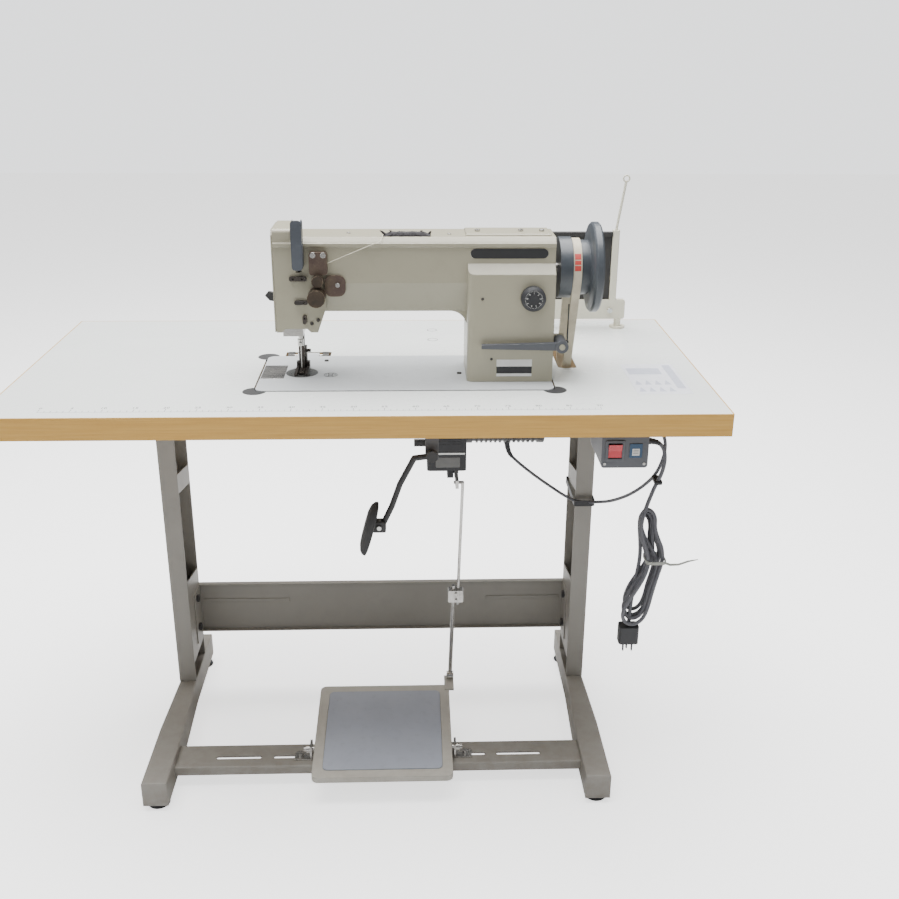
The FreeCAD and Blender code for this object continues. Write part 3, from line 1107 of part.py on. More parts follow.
def arm_casting():
    """Hollow casting: head, arm and column, with the bearing walls of the main shaft."""
    wall = CASTING_WALL
    arm = prism("x", arm_outline(0.0), ARM_LEFT, COLUMN_RIGHT)
    lug = joined(block(COLUMN_RIGHT - 2, LUG_X + 8, ARM_FRONT + 12, ARM_FRONT + 22, LUG_Z - 10, LUG_Z + 10),
                 pin("y", LUG_X, LUG_Z, COLUMN_FRONT - 18, ARM_FRONT + 14, LUG_PIN_RADIUS))
    outer = joined(arm, column(), head_block(), underarm_fillet(), lug)
    hollows = [
        prism("x", arm_outline(wall), BULKHEAD_X + wall, COLUMN_RIGHT - wall),
        block(COLUMN_LEFT + wall, COLUMN_RIGHT - wall, COLUMN_FRONT + wall, COLUMN_REAR - wall,
              BED_TOP - 1, COLUMN_SHOULDER - 8),
        block(ARM_LEFT - 1, BULKHEAD_X, ARM_FRONT + wall, ARM_REAR - wall, HEAD_BOTTOM - 1, ARM_TOP - wall),
    ]
    bores = [
        pin("x", HEAD_Y, SHAFT_Z, BULKHEAD_X - 1, BULKHEAD_X + wall + 1, SHAFT_RADIUS + RUN_FIT),
        pin("x", HEAD_Y, SHAFT_Z, COLUMN_RIGHT - wall - 1, COLUMN_RIGHT + 1, SHAFT_RADIUS + RUN_FIT),
        block(TAKE_UP_X - TAKE_UP_SLOT_HALF, TAKE_UP_X + TAKE_UP_SLOT_HALF, ARM_FRONT - 5, ARM_FRONT + 40,
              TAKE_UP_SLOT_BOTTOM, ARM_TOP + 1),
        pin("z", PAD_LEFT + 23, ARM_FRONT + 30, ARM_TOP - wall - 1, ARM_TOP + 1, 4.0),
    ]
    return less(outer, *hollows, *bores)


def face_plate():
    """Cover on the left end of the head, held by two screws."""
    outline = [(ARM_FRONT + 1, HEAD_BOTTOM + 1), (ARM_REAR - 1, HEAD_BOTTOM + 1), (ARM_REAR - 1, ARM_TOP + 4),
               (ARM_REAR - 9, ARM_TOP + 12), (ARM_FRONT + 9, ARM_TOP + 12), (ARM_FRONT + 1, ARM_TOP + 4)]
    plate = prism("x", outline, ARM_LEFT - FACE_THICK, ARM_LEFT)
    screws = [pin("x", HEAD_Y, z, ARM_LEFT - FACE_THICK - 2, ARM_LEFT - FACE_THICK, 5.0)
              for z in (HEAD_BOTTOM + 22, ARM_TOP - 20)]
    return joined(plate, *screws)


def top_cover():
    """Cover plate over the column with its screws."""
    plate = block(COLUMN_LEFT - 6, COLUMN_RIGHT - 6, ARM_FRONT + 17, ARM_REAR - 11, ARM_TOP, ARM_TOP + 3)
    edges = [e for e in plate.Edges if e.CenterOfMass.z > ARM_TOP + 2.9]
    plate = plate.makeChamfer(2.0, edges)
    screws = [pin("z", COLUMN_RIGHT - 20 - dx, HEAD_Y, ARM_TOP + 3, ARM_TOP + 4.5, 4.0)
              for dx in (0, 36, 110)]
    return joined(plate, *screws)


def thread_pad():
    """Felt oiling pad in its holder on the arm's top front edge."""
    base = block(PAD_LEFT, PAD_LEFT + PAD_LENGTH, ARM_FRONT + 9, ARM_FRONT + 30, ARM_TOP, ARM_TOP + 8)
    ear = block(PAD_LEFT, PAD_LEFT + 3, ARM_FRONT + 12, ARM_FRONT + 20, ARM_TOP + 8, ARM_TOP + 16)
    return joined(base.makeFillet(2.0, [e for e in base.Edges if e.CenterOfMass.z > ARM_TOP + 7.9]), ear)


save("arm_casting", arm_casting())
save("face_plate", face_plate())
save("top_cover", top_cover())
save("thread_pad", thread_pad())


# ---------------------------------------------------------------- thread path and controls
def take_up_guard():
    """Channel-shaped guard over the take-up lever's slot."""
    x0, x1 = TAKE_UP_X - 9.0, TAKE_UP_X + 9.0
    z0, z1 = TAKE_UP_SLOT_BOTTOM + 8, ARM_TOP + 32
    outer = soft_block(x0, x1, ARM_FRONT - 24, ARM_FRONT, z0, z1, 6.0, "y")
    hollow = block(x0 + 2, x1 - 2, ARM_FRONT - 22, ARM_FRONT + 1, z0 - 1, z1 + 1)
    crease = ARM_TOP - ARM_BEVEL
    ledge = block(x0 - 1, x1 + 1, ARM_FRONT - LEDGE_OUT, ARM_FRONT + 1, crease - 8, crease + 1)
    return less(outer, hollow, ledge)


def take_up_lever():
    """Lever with an eyelet that pulls the stitch tight."""
    y, z = TAKE_UP_PIVOT
    tip_y = ARM_FRONT - 14.0
    tip_z = z + 6.0
    hub = pin("x", y, z, TAKE_UP_X - 3, TAKE_UP_X + 3, 8.0)
    outline = [(y, z - 5), (y, z + 5), (tip_y, tip_z + 3), (tip_y, tip_z - 3)]
    arm = prism("x", outline, TAKE_UP_X - 2, TAKE_UP_X + 2)
    eye = pin("x", tip_y, tip_z, TAKE_UP_X - 2, TAKE_UP_X + 2, 5.0)
    hole = pin("x", tip_y, tip_z, TAKE_UP_X - 3, TAKE_UP_X + 3, 1.8)
    return less(joined(hub, arm, eye), hole)


def tension_bracket():
    """Mounting block with two screw ears, the posts of both tensions and the guide plate."""
    front = ARM_FRONT
    x0 = HEAD_RIGHT - 26
    top = ARM_TOP - 22
    body = soft_block(x0, x0 + 30, front - 13, front, top - 38, top, 5.0, "y")
    ears = [pin("y", x0 + dx, top - 4, front - 15, front - 12, 4.5) for dx in (7, 24)]
    guide = soft_block(x0 + 24, x0 + 59, front - 4, front, top - 76, top - 40, 12.0, "y")
    screw = pin("y", x0 + 46, top - 56, front - 6, front - 4, 3.5)
    posts = [pin("y", PRE_TENSION_X, PRE_TENSION_Z, front - 22, front, POST_RADIUS),
             pin("y", TENSION_X, TENSION_Z, front - 30, front, POST_RADIUS)]
    discs = [pin("y", PRE_TENSION_X, PRE_TENSION_Z, front - y, front - y + 1.5, PRE_TENSION_RADIUS - 1)
             for y in (8, 11)]
    discs += [pin("y", TENSION_X, TENSION_Z, front - y, front - y + 1.5, TENSION_RADIUS) for y in (9, 13)]
    seat = pin("y", TENSION_X, TENSION_Z, front - 6, front, TENSION_RADIUS - 4)
    return joined(body, *ears, guide, screw, *posts, *discs, seat)


def thumb_nut(x, z, radius, start, end):
    """Knurled nut turning on its post."""
    body = pin("y", x, z, start, end, radius)
    teeth = max(16, int(radius * 2.2))
    turns = [2 * math.pi * k / teeth for k in range(teeth)]
    grooves = [pin("y", x + radius * math.cos(turn), z + radius * math.sin(turn),
                   start - 1, end + 1, 0.7) for turn in turns]
    bore = pin("y", x, z, start + 3, end + 1, POST_RADIUS + RUN_FIT)
    return less(body, bore, *grooves)


def thread_guides():
    """Small wire and plate guides screwed to the head's front."""
    front = ARM_FRONT
    x, z = NEEDLE_X, HEAD_BOTTOM
    upper = soft_block(x - 10, x + 19, front - 5, front, z + 89, z + 97, 3.5, "y")
    middle = soft_block(x - 3, x + 20, front - 5, front, z + 49, z + 56, 3.0, "y")
    lower = soft_block(x + 10, x + 17, front - 7, front, z + 16, z + 31, 3.0, "y")
    holes = [pin("y", x + dx, z + dz, front - 8, front + 1, 1.6)
             for dx, dz in ((-3, 93), (12, 93), (14, 52.5), (13.5, 26))]
    screws = [pin("y", x + dx, z + dz, front - 1.5, front, 3.0) for dx, dz in ((25, 16), (36, 22))]
    return [less(piece, *holes) for piece in (upper, middle, lower)] + screws


def top_thread():
    """Thread pulled tight from the felt pad, over the arm's edge, to the tension bracket."""
    start = (PAD_LEFT + 2, ARM_FRONT + 9, ARM_TOP + 4)
    edge = (PAD_LEFT - 1, ARM_FRONT - LEDGE_OUT - 1.5, ARM_TOP - 4)
    end = (HEAD_RIGHT + 4, ARM_FRONT - 6.5, ARM_TOP - 41)
    return start, edge, end


def stitch_dial():
    """Stitch-length dial with a fluted rim and a raised centre."""
    y1 = COLUMN_FRONT - PIECE_GAP
    y0 = y1 - 16.0
    base = pin("y", DIAL_X, DIAL_Z, y0 + 4, y1, DIAL_RADIUS)
    middle = FreeCAD.Vector(DIAL_X, y0, DIAL_Z)
    cap = Part.makeCone(DIAL_RADIUS - 5, DIAL_RADIUS, 4.0, middle, FreeCAD.Vector(0, 1, 0))
    centre = pin("y", DIAL_X, DIAL_Z, y0 - 2, y0 + 1, 8.0)
    flutes = [pin("y", DIAL_X + (DIAL_RADIUS + 0.6) * math.cos(math.radians(10 * k)),
                  DIAL_Z + (DIAL_RADIUS + 0.6) * math.sin(math.radians(10 * k)), y0 + 4, y1 + 1, 1.2)
              for k in range(36)]
    return less(joined(base, cap, centre), *flutes)


def reverse_lever():
    """Tapered reverse-feed bar across the column, on its boss at the right."""
    y0, y1 = COLUMN_FRONT - 14, COLUMN_FRONT - 6
    boss = pin("y", LUG_X, LUG_Z, y0 - 2, ARM_FRONT + 11, 11.0)
    bar = prism("y", [(COLUMN_LEFT + 21, LUG_Z - 3.5), (COLUMN_LEFT + 21, LUG_Z + 3.5), (LUG_X, LUG_Z + 7),
                      (LUG_X, LUG_Z - 7)], y0, y1)
    bore = pin("y", LUG_X, LUG_Z, y0 - 3, ARM_FRONT + 12, LUG_PIN_RADIUS + RUN_FIT)
    return less(joined(boss, bar), bore)


def reverse_link():
    """Thin link that carries the reverse lever's movement up into the arm."""
    rod = pin("z", LUG_X + 13.5, ARM_FRONT + 6, LUG_Z - 4, LUG_Z + 66, 1.2)
    return joined(rod, pin("y", LUG_X + 13.5, LUG_Z, ARM_FRONT + 2, ARM_FRONT + 10, 2.2))


def hand_lifter():
    """Presser-foot hand lever behind the head."""
    x, z = ARM_LEFT + 14, HEAD_BOTTOM + 35
    y0, y1 = ARM_REAR + PIECE_GAP, ARM_REAR + 10
    hub = pin("y", x, z, y0, y1, 10.0)
    outline = [(x, z - 8), (x, z + 8), (x - 38, z + 14), (x - 44, z + 7), (x - 36, z - 2)]
    return joined(hub, prism("y", outline, y0, y1 - 2))


save("take_up_guard", take_up_guard())
save("take_up_lever", take_up_lever())
save("tension_bracket", tension_bracket())
save("pre_tension_nut", thumb_nut(PRE_TENSION_X, PRE_TENSION_Z, PRE_TENSION_RADIUS,
                                  ARM_FRONT - 28, ARM_FRONT - 13.4))
save("main_tension_nut", thumb_nut(TENSION_X, TENSION_Z, TENSION_RADIUS, ARM_FRONT - 36, ARM_FRONT - 18))
save("thread_guides", *thread_guides())
cord("top_thread", top_thread(), THREAD_DIAMETER)
save("stitch_dial", stitch_dial())
save("reverse_lever", reverse_lever())
save("reverse_link", reverse_link())
save("hand_lifter", hand_lifter())


# ---------------------------------------------------------------- shafts, wheel and bars
def handwheel():
    """Belt pulley and dished rim in one casting, bored for the main shaft."""
    groove = BELT_WIDTH / 2 + 0.3
    left = COLUMN_RIGHT + 9.0
    a = BELT_MIDDLE_X - groove
    b = BELT_MIDDLE_X + groove
    profile = [(left, SHAFT_RADIUS), (left, WHEEL_PULLEY_RADIUS), (a, WHEEL_PULLEY_RADIUS),
               (a, WHEEL_GROOVE_RADIUS), (b, WHEEL_GROOVE_RADIUS), (b, WHEEL_PULLEY_RADIUS - 5),
               (b + 15, WHEEL_PULLEY_RADIUS - 6),
               (b + 16, WHEEL_RADIUS - 14), (b + 19, WHEEL_RADIUS - 3), (b + 22, WHEEL_RADIUS),
               (b + 31, WHEEL_RADIUS), (b + 34, WHEEL_RADIUS - 3), (b + 35, WHEEL_RADIUS - 12),
               (b + 30, WHEEL_RADIUS - 19), (b + 30, 32.0), (b + 38, 24.0), (b + 41, 18.0),
               (b + 41, SHAFT_RADIUS)]
    return turned(profile, HEAD_Y, SHAFT_Z)


def main_shaft():
    """Main shaft with the needle crank on its left end and the timing pulley in the column."""
    start = BULKHEAD_X - 8
    shaft = pin("x", HEAD_Y, SHAFT_Z, start, BELT_MIDDLE_X + 52, SHAFT_RADIUS)
    crank = pin("x", HEAD_Y, SHAFT_Z, start, start + 7, 20.0)
    gear = pin("x", HEAD_Y, SHAFT_Z, LOWER_GEAR_X, LOWER_GEAR_X + GEAR_WIDTH, UPPER_GEAR_RADIUS)
    return joined(shaft, crank, gear)


BAR_ENDS = SHAFT_Z + 32.0
CLAMP_BOTTOM = BED_TOP + 50.0
FOOT_SOLE = BED_TOP + 1.0


def needle_bar():
    """Needle bar with its clamp, screw and needle."""
    bar = pin("z", NEEDLE_X, NEEDLE_Y, CLAMP_BOTTOM + 6, BAR_ENDS, NEEDLE_BAR_RADIUS)
    clamp = pin("z", NEEDLE_X, NEEDLE_Y, CLAMP_BOTTOM, CLAMP_BOTTOM + 12, 5.5)
    screw = pin("y", NEEDLE_X, CLAMP_BOTTOM + 6, NEEDLE_Y - 12, NEEDLE_Y - 4, 2.5)
    tip = BED_TOP + 4.0
    needle = pin("z", NEEDLE_X, NEEDLE_Y, tip + 6, CLAMP_BOTTOM + 2, 0.9)
    point = Part.makeCone(0.1, 0.9, 6.0, FreeCAD.Vector(NEEDLE_X, NEEDLE_Y, tip))
    return joined(bar, clamp, screw, needle, point)


def presser_bar():
    """Outer presser bar with its two-toed foot."""
    sole = FOOT_SOLE
    bar = pin("z", NEEDLE_X, PRESSER_BAR_Y, sole + 33, BAR_ENDS, FOOT_BAR_RADIUS)
    block_top = block(NEEDLE_X - 7, NEEDLE_X + 7, PRESSER_BAR_Y - 6, PRESSER_BAR_Y + 8, sole + 10, sole + 39)
    toes = [block(x - 2.5, x + 2.5, NEEDLE_Y - 22, PRESSER_BAR_Y + 4, sole, sole + 4)
            for x in (NEEDLE_X - 9, NEEDLE_X + 9)]
    bridge = block(NEEDLE_X - 11.5, NEEDLE_X + 11.5, PRESSER_BAR_Y - 6, PRESSER_BAR_Y + 6, sole, sole + 11)
    screw = pin("x", PRESSER_BAR_Y, sole + 31, NEEDLE_X + 6, NEEDLE_X + 14, 3.0)
    return joined(bar, block_top, bridge, *toes, screw)


def walking_bar():
    """Inner walking-foot bar; its sole has the hole that the needle goes through."""
    sole = FOOT_SOLE
    bar = pin("z", NEEDLE_X, WALKING_BAR_Y, sole + 39, BAR_ENDS, FOOT_BAR_RADIUS)
    holder = block(NEEDLE_X - 5, NEEDLE_X + 5, WALKING_BAR_Y - 4, WALKING_BAR_Y + 4, sole + 25, sole + 45)
    shank = block(NEEDLE_X - 3.5, NEEDLE_X + 3.5, WALKING_BAR_Y - 3, WALKING_BAR_Y + 3, sole, sole + 27)
    toe = block(NEEDLE_X - 4.5, NEEDLE_X + 4.5, NEEDLE_Y - 12, WALKING_BAR_Y + 3, sole, sole + 3.5)
    hole = pin("z", NEEDLE_X, NEEDLE_Y, sole - 1, sole + 10, 1.8)
    return less(joined(bar, holder, shank, toe), hole)


def bar_guide():
    """Bright guide block at the head's mouth that the three bars slide in."""
    block_body = block(NEEDLE_X - 26, NEEDLE_X + 8, ARM_FRONT + 12, ARM_REAR - 12,
                       HEAD_BOTTOM - 10, HEAD_BOTTOM + 6)
    bores = [pin("z", NEEDLE_X, y, HEAD_BOTTOM - 11, HEAD_BOTTOM + 7, radius + RUN_FIT)
             for y, radius in ((NEEDLE_Y, NEEDLE_BAR_RADIUS), (WALKING_BAR_Y, FOOT_BAR_RADIUS),
                               (PRESSER_BAR_Y, FOOT_BAR_RADIUS))]
    return less(block_body, *bores)


save("handwheel", handwheel())
save("main_shaft", main_shaft())
save("needle_bar", needle_bar())
save("presser_bar", presser_bar())
save("walking_bar", walking_bar())
save("bar_guide", bar_guide())
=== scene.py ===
# %% [markdown]
# # A leather sewing machine on its stand
# The real machine is a cast head with a long arm, let into a laminate table on a pressed-steel stand.
# Its castings, shafts and brackets come ready as a frame of named nodes, each on the body that moves
# it. This lesson gives them their finishes, and adds what the castings carry: cords, screws, a ruler,
# plates, a felt pad and a thread. Everything is in metres, in the frame's own axes: X along the
# table, -Y towards the person who sews, Z up.

# %% Load the frame
import json
import math

import bmesh
import bpy
from mathutils import Matrix, Vector

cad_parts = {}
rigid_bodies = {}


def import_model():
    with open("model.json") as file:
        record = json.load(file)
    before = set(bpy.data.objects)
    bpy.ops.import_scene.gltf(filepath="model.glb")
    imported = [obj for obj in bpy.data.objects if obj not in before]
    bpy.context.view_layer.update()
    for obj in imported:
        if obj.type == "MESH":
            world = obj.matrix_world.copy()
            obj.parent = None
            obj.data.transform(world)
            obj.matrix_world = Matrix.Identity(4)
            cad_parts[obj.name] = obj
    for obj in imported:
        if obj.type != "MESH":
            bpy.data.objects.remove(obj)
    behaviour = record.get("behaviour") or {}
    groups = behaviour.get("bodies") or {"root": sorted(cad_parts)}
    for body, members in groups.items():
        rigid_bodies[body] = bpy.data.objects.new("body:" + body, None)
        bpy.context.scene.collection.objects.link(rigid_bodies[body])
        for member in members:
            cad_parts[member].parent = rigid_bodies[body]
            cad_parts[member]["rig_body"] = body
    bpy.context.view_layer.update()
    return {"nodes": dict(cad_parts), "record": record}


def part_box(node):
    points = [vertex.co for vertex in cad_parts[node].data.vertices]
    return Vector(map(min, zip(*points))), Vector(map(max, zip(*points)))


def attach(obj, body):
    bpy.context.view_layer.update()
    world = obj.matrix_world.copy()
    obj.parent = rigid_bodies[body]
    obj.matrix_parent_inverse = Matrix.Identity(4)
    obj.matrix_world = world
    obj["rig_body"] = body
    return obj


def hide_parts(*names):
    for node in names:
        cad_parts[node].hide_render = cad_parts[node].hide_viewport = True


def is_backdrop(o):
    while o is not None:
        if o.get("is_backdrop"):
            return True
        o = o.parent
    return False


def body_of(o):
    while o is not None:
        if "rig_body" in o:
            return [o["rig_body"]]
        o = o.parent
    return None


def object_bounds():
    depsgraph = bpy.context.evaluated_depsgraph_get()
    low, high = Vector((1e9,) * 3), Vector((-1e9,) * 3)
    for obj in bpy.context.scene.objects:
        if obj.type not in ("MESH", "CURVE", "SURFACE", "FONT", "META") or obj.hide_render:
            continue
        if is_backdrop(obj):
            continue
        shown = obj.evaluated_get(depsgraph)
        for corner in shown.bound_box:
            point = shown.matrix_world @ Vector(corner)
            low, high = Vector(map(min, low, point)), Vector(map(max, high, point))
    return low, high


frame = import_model()
nodes = frame["nodes"]

MM = 0.001
AXIS = {"x": Vector((1, 0, 0)), "y": Vector((0, 1, 0)), "z": Vector((0, 0, 1))}


# %% [markdown]
# ## Standing in front of it
# From chest height, a step back from the table, the table top and the front of the head are both in
# view. A camera is a place, a lens and three turns: a small one to the right, a long one down, and the
# slight roll of a hand. Turning a matrix step by step keeps the three apart, which one set of Euler
# angles would not.

# %% Camera
EYE = (0.0862, -1.8929, 1.3338)
TURN_RIGHT, LOOK_DOWN, ROLL = 2.1, 21.43, 0.36
LENS, SENSOR = 42.86, 36.0

camera = bpy.data.objects.new("camera", bpy.data.cameras.new("camera"))
camera.data.lens = LENS
camera.data.sensor_width = SENSOR
turns = (Matrix.Rotation(-math.radians(TURN_RIGHT), 4, "Z")
         @ Matrix.Rotation(math.radians(90 - LOOK_DOWN), 4, "X")
         @ Matrix.Rotation(math.radians(ROLL), 4, "Z"))
camera.matrix_world = Matrix.Translation(EYE) @ turns
bpy.context.scene.collection.objects.link(camera)
bpy.context.scene.camera = camera


# %% [markdown]
# ## Floor and light
# The machine stands in flat daylight: a bright sky overhead, and little from the front, so that tops
# are pale and fronts are darker. A wide area lamp above does the sky, a weak one in front lifts the
# shadows, and a dim world fills the rest. The world and the floor are brighter to the camera than to
# the machine: a Light Path node adds that brightness for camera rays only, which keeps the fronts dark.

# %% Floor and lamps
FLOOR_HALF = 9.0
SKY_LIGHT, SKY_SEEN, FLOOR_SEEN = 0.22, 1.95, 1.6
SKY_COLOUR, FLOOR_COLOUR, FLOOR_ROUGHNESS = (0.97, 0.985, 1.0, 1.0), (0.90, 0.90, 0.90, 1.0), 0.9


def plain_material(name, colour, roughness):
    """One flat finish, for what isn't part of the object."""
    material = bpy.data.materials.new(name)
    material.use_nodes = True
    shader = material.node_tree.nodes["Principled BSDF"]
    shader.inputs["Base Color"].default_value = colour
    shader.inputs["Roughness"].default_value = roughness
    return material


def mesh_piece(name, vertices, faces, material=None):
    """A new mesh object whose place is in its mesh."""
    mesh = bpy.data.meshes.new(name)
    mesh.from_pydata([tuple(v) for v in vertices], [], faces)
    mesh.update()
    piece = bpy.data.objects.new(name, mesh)
    bpy.context.scene.collection.objects.link(piece)
    if material:
        mesh.materials.append(material)
    return piece


def lamp(name, place, target, size, watts):
    """A square area lamp at a place, facing a target."""
    light = bpy.data.lights.new(name, "AREA")
    light.size = size
    light.energy = watts
    holder = bpy.data.objects.new(name, light)
    facing = (Vector(place) - Vector(target)).to_track_quat("Z", "Y").to_matrix().to_4x4()
    holder.matrix_world = Matrix.Translation(place) @ facing
    bpy.context.scene.collection.objects.link(holder)


def brighter_to_camera(tree, strength_socket, to_all, to_camera):
    """Drive a strength with one value for every ray, and another for the camera's own."""
    camera_ray = tree.nodes.new("ShaderNodeLightPath").outputs["Is Camera Ray"]
    total = tree.nodes.new("ShaderNodeMath")
    total.operation = "MULTIPLY_ADD"
    tree.links.new(camera_ray, total.inputs[0])
    total.inputs[1].default_value = to_camera - to_all
    total.inputs[2].default_value = to_all
    tree.links.new(total.outputs[0], strength_socket)


half = FLOOR_HALF
floor_paint = plain_material("floor", FLOOR_COLOUR, FLOOR_ROUGHNESS)
floor = mesh_piece("floor", [(-half, -half, 0), (half, -half, 0), (half, half, 0), (-half, half, 0)],
                   [(0, 1, 2, 3)], floor_paint)
floor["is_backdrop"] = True
floor_shader = floor_paint.node_tree.nodes["Principled BSDF"]
floor_shader.inputs["Emission Color"].default_value = (1, 1, 1, 1)
brighter_to_camera(floor_paint.node_tree, floor_shader.inputs["Emission Strength"], 0.0, FLOOR_SEEN)

lamp("sky", (-0.1, 0.35, 3.3), (0, 0, 0.6), 3.2, 330)
lamp("front", (-1.2, -2.6, 3.0), (0, -0.1, 0.4), 2.0, 24)
lamp("side", (2.6, -1.2, 1.8), (0, 0, 0.6), 1.8, 5)

world = bpy.data.worlds.new("world")
world.use_nodes = True
background = world.node_tree.nodes["Background"]
background.inputs["Color"].default_value = SKY_COLOUR
brighter_to_camera(world.node_tree, background.inputs["Strength"], SKY_LIGHT, SKY_SEEN)
bpy.context.scene.world = world


# %% [markdown]
# ## The cords
# Two cords leave the switch box. The thin lead bends down, is strapped to the leg and hangs in a slack
# bow to the motor. The thicker mains cord drops into a hank of its own spare length, held by a tie,
# with the plug below it. Each is one smooth NURBS curve, because a rubber cord has no corners: its
# control points are listed places that the cord passes near.

# %% Cords
LEAD_DIAMETER, CORD_DIAMETER = 6 * MM, 7 * MM
LEAD_ROUTE = [
    (480, -197, 706), (499, -197, 706), (515, -196.5, 692), (520, -196, 668), (516, -194, 640),
    (507, -186, 611), (494, -155, 577), (481, -118, 546), (468, -76, 518), (458, -33, 494), (448, 3, 477),
    (430, 22, 468), (408, 24, 469), (386, 32, 477), (362, 38, 492), (336, 44, 509), (311, 49, 527),
    (289, 53, 545), (272, 55.5, 562), (270, 56, 582),
]
MAINS_ROUTE = [
    (480, -215, 688), (497, -215, 688), (511, -214.5, 677), (516, -213.5, 658), (515, -212, 637),
    (510, -209, 616), (502, -204.5, 594), (496, -200, 566),
]


def cord(name, route, diameter):
    """A round cord as a NURBS curve with a list of control points in millimetres."""
    curve = bpy.data.curves.new(name, "CURVE")
    curve.dimensions = "3D"
    curve.bevel_depth = diameter / 2
    curve.bevel_resolution = 4
    curve.resolution_u = 8
    curve.use_fill_caps = True
    spline = curve.splines.new("NURBS")
    spline.points.add(len(route) - 1)
    for point, place in zip(spline.points, route):
        point.co = (*(Vector(place) * MM), 1.0)
    spline.order_u = 3
    spline.use_endpoint_u = True
    piece = bpy.data.objects.new(name, curve)
    bpy.context.scene.collection.objects.link(piece)
    return piece


# %% The hank's turns
# Two kinds of turn lie side by side in Y. A plain one goes down the left side and up the right. A
# crossed one changes sides at the waist, where the tie holds the strands, and so makes an eight.
PLAIN_TURN = [
    (483, 537), (487, 508), (497, 482), (504, 456), (498, 427), (484, 398), (469, 371), (462, 348),
    (469, 331), (486, 327), (501, 338), (509, 361), (514, 392), (521, 424), (528, 452), (527, 478),
    (517, 500), (510, 520), (510, 541), (500, 556), (488, 555),
]
CROSSED_TURN = [
    (483, 540), (488, 516), (500, 493), (514, 472), (523, 448), (518, 421), (511, 393), (507, 362),
    (498, 338), (483, 329), (469, 337), (464, 358), (472, 386), (486, 411), (500, 434), (511, 457),
    (512, 482), (508, 503), (509, 526), (505, 546), (492, 556),
]
HANK_LAYERS = (-212, -204.5, -197, -189.5)
LAYER_STEP = 7.5
HANK_CENTRE = (497, 440)
TURN_SHRINK = 0.05
PLUG_LEAD = [(486, -186, 520), (490, -187, 490), (492, -190, 455), (486, -194, 415), (480, -198, 375),
             (478, -200, 345), (478, -200, 321)]


def hank_route():
    """Every turn of the hank, one layer after another, each a little smaller than the last."""
    route = []
    for number, layer in enumerate(HANK_LAYERS):
        turn = CROSSED_TURN if number % 2 else PLAIN_TURN
        size = 1 - TURN_SHRINK * number
        for step, (x, z) in enumerate(turn):
            y = layer + LAYER_STEP * step / len(turn)
            route.append((HANK_CENTRE[0] + (x - HANK_CENTRE[0]) * size, y,
                          HANK_CENTRE[1] + (z - HANK_CENTRE[1]) * size))
    return route


motor_lead = cord("motor_lead_cord", LEAD_ROUTE, LEAD_DIAMETER)
mains_cord = cord("mains_cord_and_hank", MAINS_ROUTE[:-1] + hank_route() + PLUG_LEAD, CORD_DIAMETER)


def curve_length(piece):
    """The length of a curve's own line, in metres."""
    return piece.data.splines[0].calc_length()


for piece in (motor_lead, mains_cord):
    print(piece.name, "is", round(curve_length(piece), 3), "m long")


# %% [markdown]
# ## Shared effects
# Every finish on the machine ages in the same few ways: it is mottled, it has a fine grain, its edges
# wear bright, and dirt gathers low down. Each effect is a node group with named sockets, built once
# and placed in each material with values of its own. A group could hold the whole shader, but then
# one dial too many would be shared, so only masks, colours and normals come out.

# %% Node helpers


class Net:
    """A short way to add and join nodes in one tree."""

    def __init__(self, tree):
        self.tree = tree

    def add(self, kind, **settings):
        """A node of a kind, with properties, and inputs given as a dict of values or sockets."""
        inputs = settings.pop("inputs", {})
        node = self.tree.nodes.new(kind)
        for key, value in settings.items():
            setattr(node, key, value)
        for key, value in inputs.items():
            if isinstance(value, bpy.types.NodeSocket):
                self.tree.links.new(value, node.inputs[key])
            else:
                node.inputs[key].default_value = value
        return node

    def noise(self, where, scale, detail=3.0, roughness=0.55):
        """The value of a noise at a place."""
        return self.add("ShaderNodeTexNoise", inputs={
            "Vector": where, "Scale": scale, "Detail": detail, "Roughness": roughness}).outputs["Fac"]

    def remap(self, value, low, high, to_low=0.0, to_high=1.0):
        """Value's range low to high, stretched over another and clamped."""
        return self.add("ShaderNodeMapRange", inputs={
            "Value": value, "From Min": low, "From Max": high,
            "To Min": to_low, "To Max": to_high}).outputs["Result"]

    def math(self, operation, first, second=0.0, clamp=False):
        """One sum of two values."""
        return self.add("ShaderNodeMath", operation=operation, use_clamp=clamp,
                        inputs={0: first, 1: second}).outputs[0]

    def mix(self, share, first, second):
        """Two colours mixed by a share."""
        node = self.add("ShaderNodeMix", data_type="RGBA", inputs={0: share})
        for index, value in ((6, first), (7, second)):
            if isinstance(value, bpy.types.NodeSocket):
                self.tree.links.new(value, node.inputs[index])
            else:
                node.inputs[index].default_value = value
        return node.outputs[2]

    def stretched(self, where, scale):
        """Places scaled along each axis, so that a noise becomes streaks."""
        return self.add("ShaderNodeVectorMath", operation="MULTIPLY",
                        inputs={0: where, 1: scale}).outputs[0]


def group(name, inputs, outputs):
    """A shader node group with named sockets: its Net, its input sockets and its output node."""
    tree = bpy.data.node_groups.new(name, "ShaderNodeTree")
    for label, kind, value in inputs:
        socket = tree.interface.new_socket(label, in_out="INPUT", socket_type=kind)
        if value is not None:
            socket.default_value = value
    for label, kind in outputs:
        tree.interface.new_socket(label, in_out="OUTPUT", socket_type=kind)
    net = Net(tree)
    return net, net.add("NodeGroupInput").outputs, net.add("NodeGroupOutput").inputs


FLOAT, COLOUR, VECTOR = "NodeSocketFloat", "NodeSocketColor", "NodeSocketVector"

# %% [markdown]
# ### Rounded and worn edges
# A casting's edges are never sharp. The Bevel node looks round a small distance and gives the normal
# that a rounded edge would have, so the frame's crisp solids catch light as real ones do. Where that
# normal and the true one part, there is an edge: the same sum gives a mask of where paint wears off.

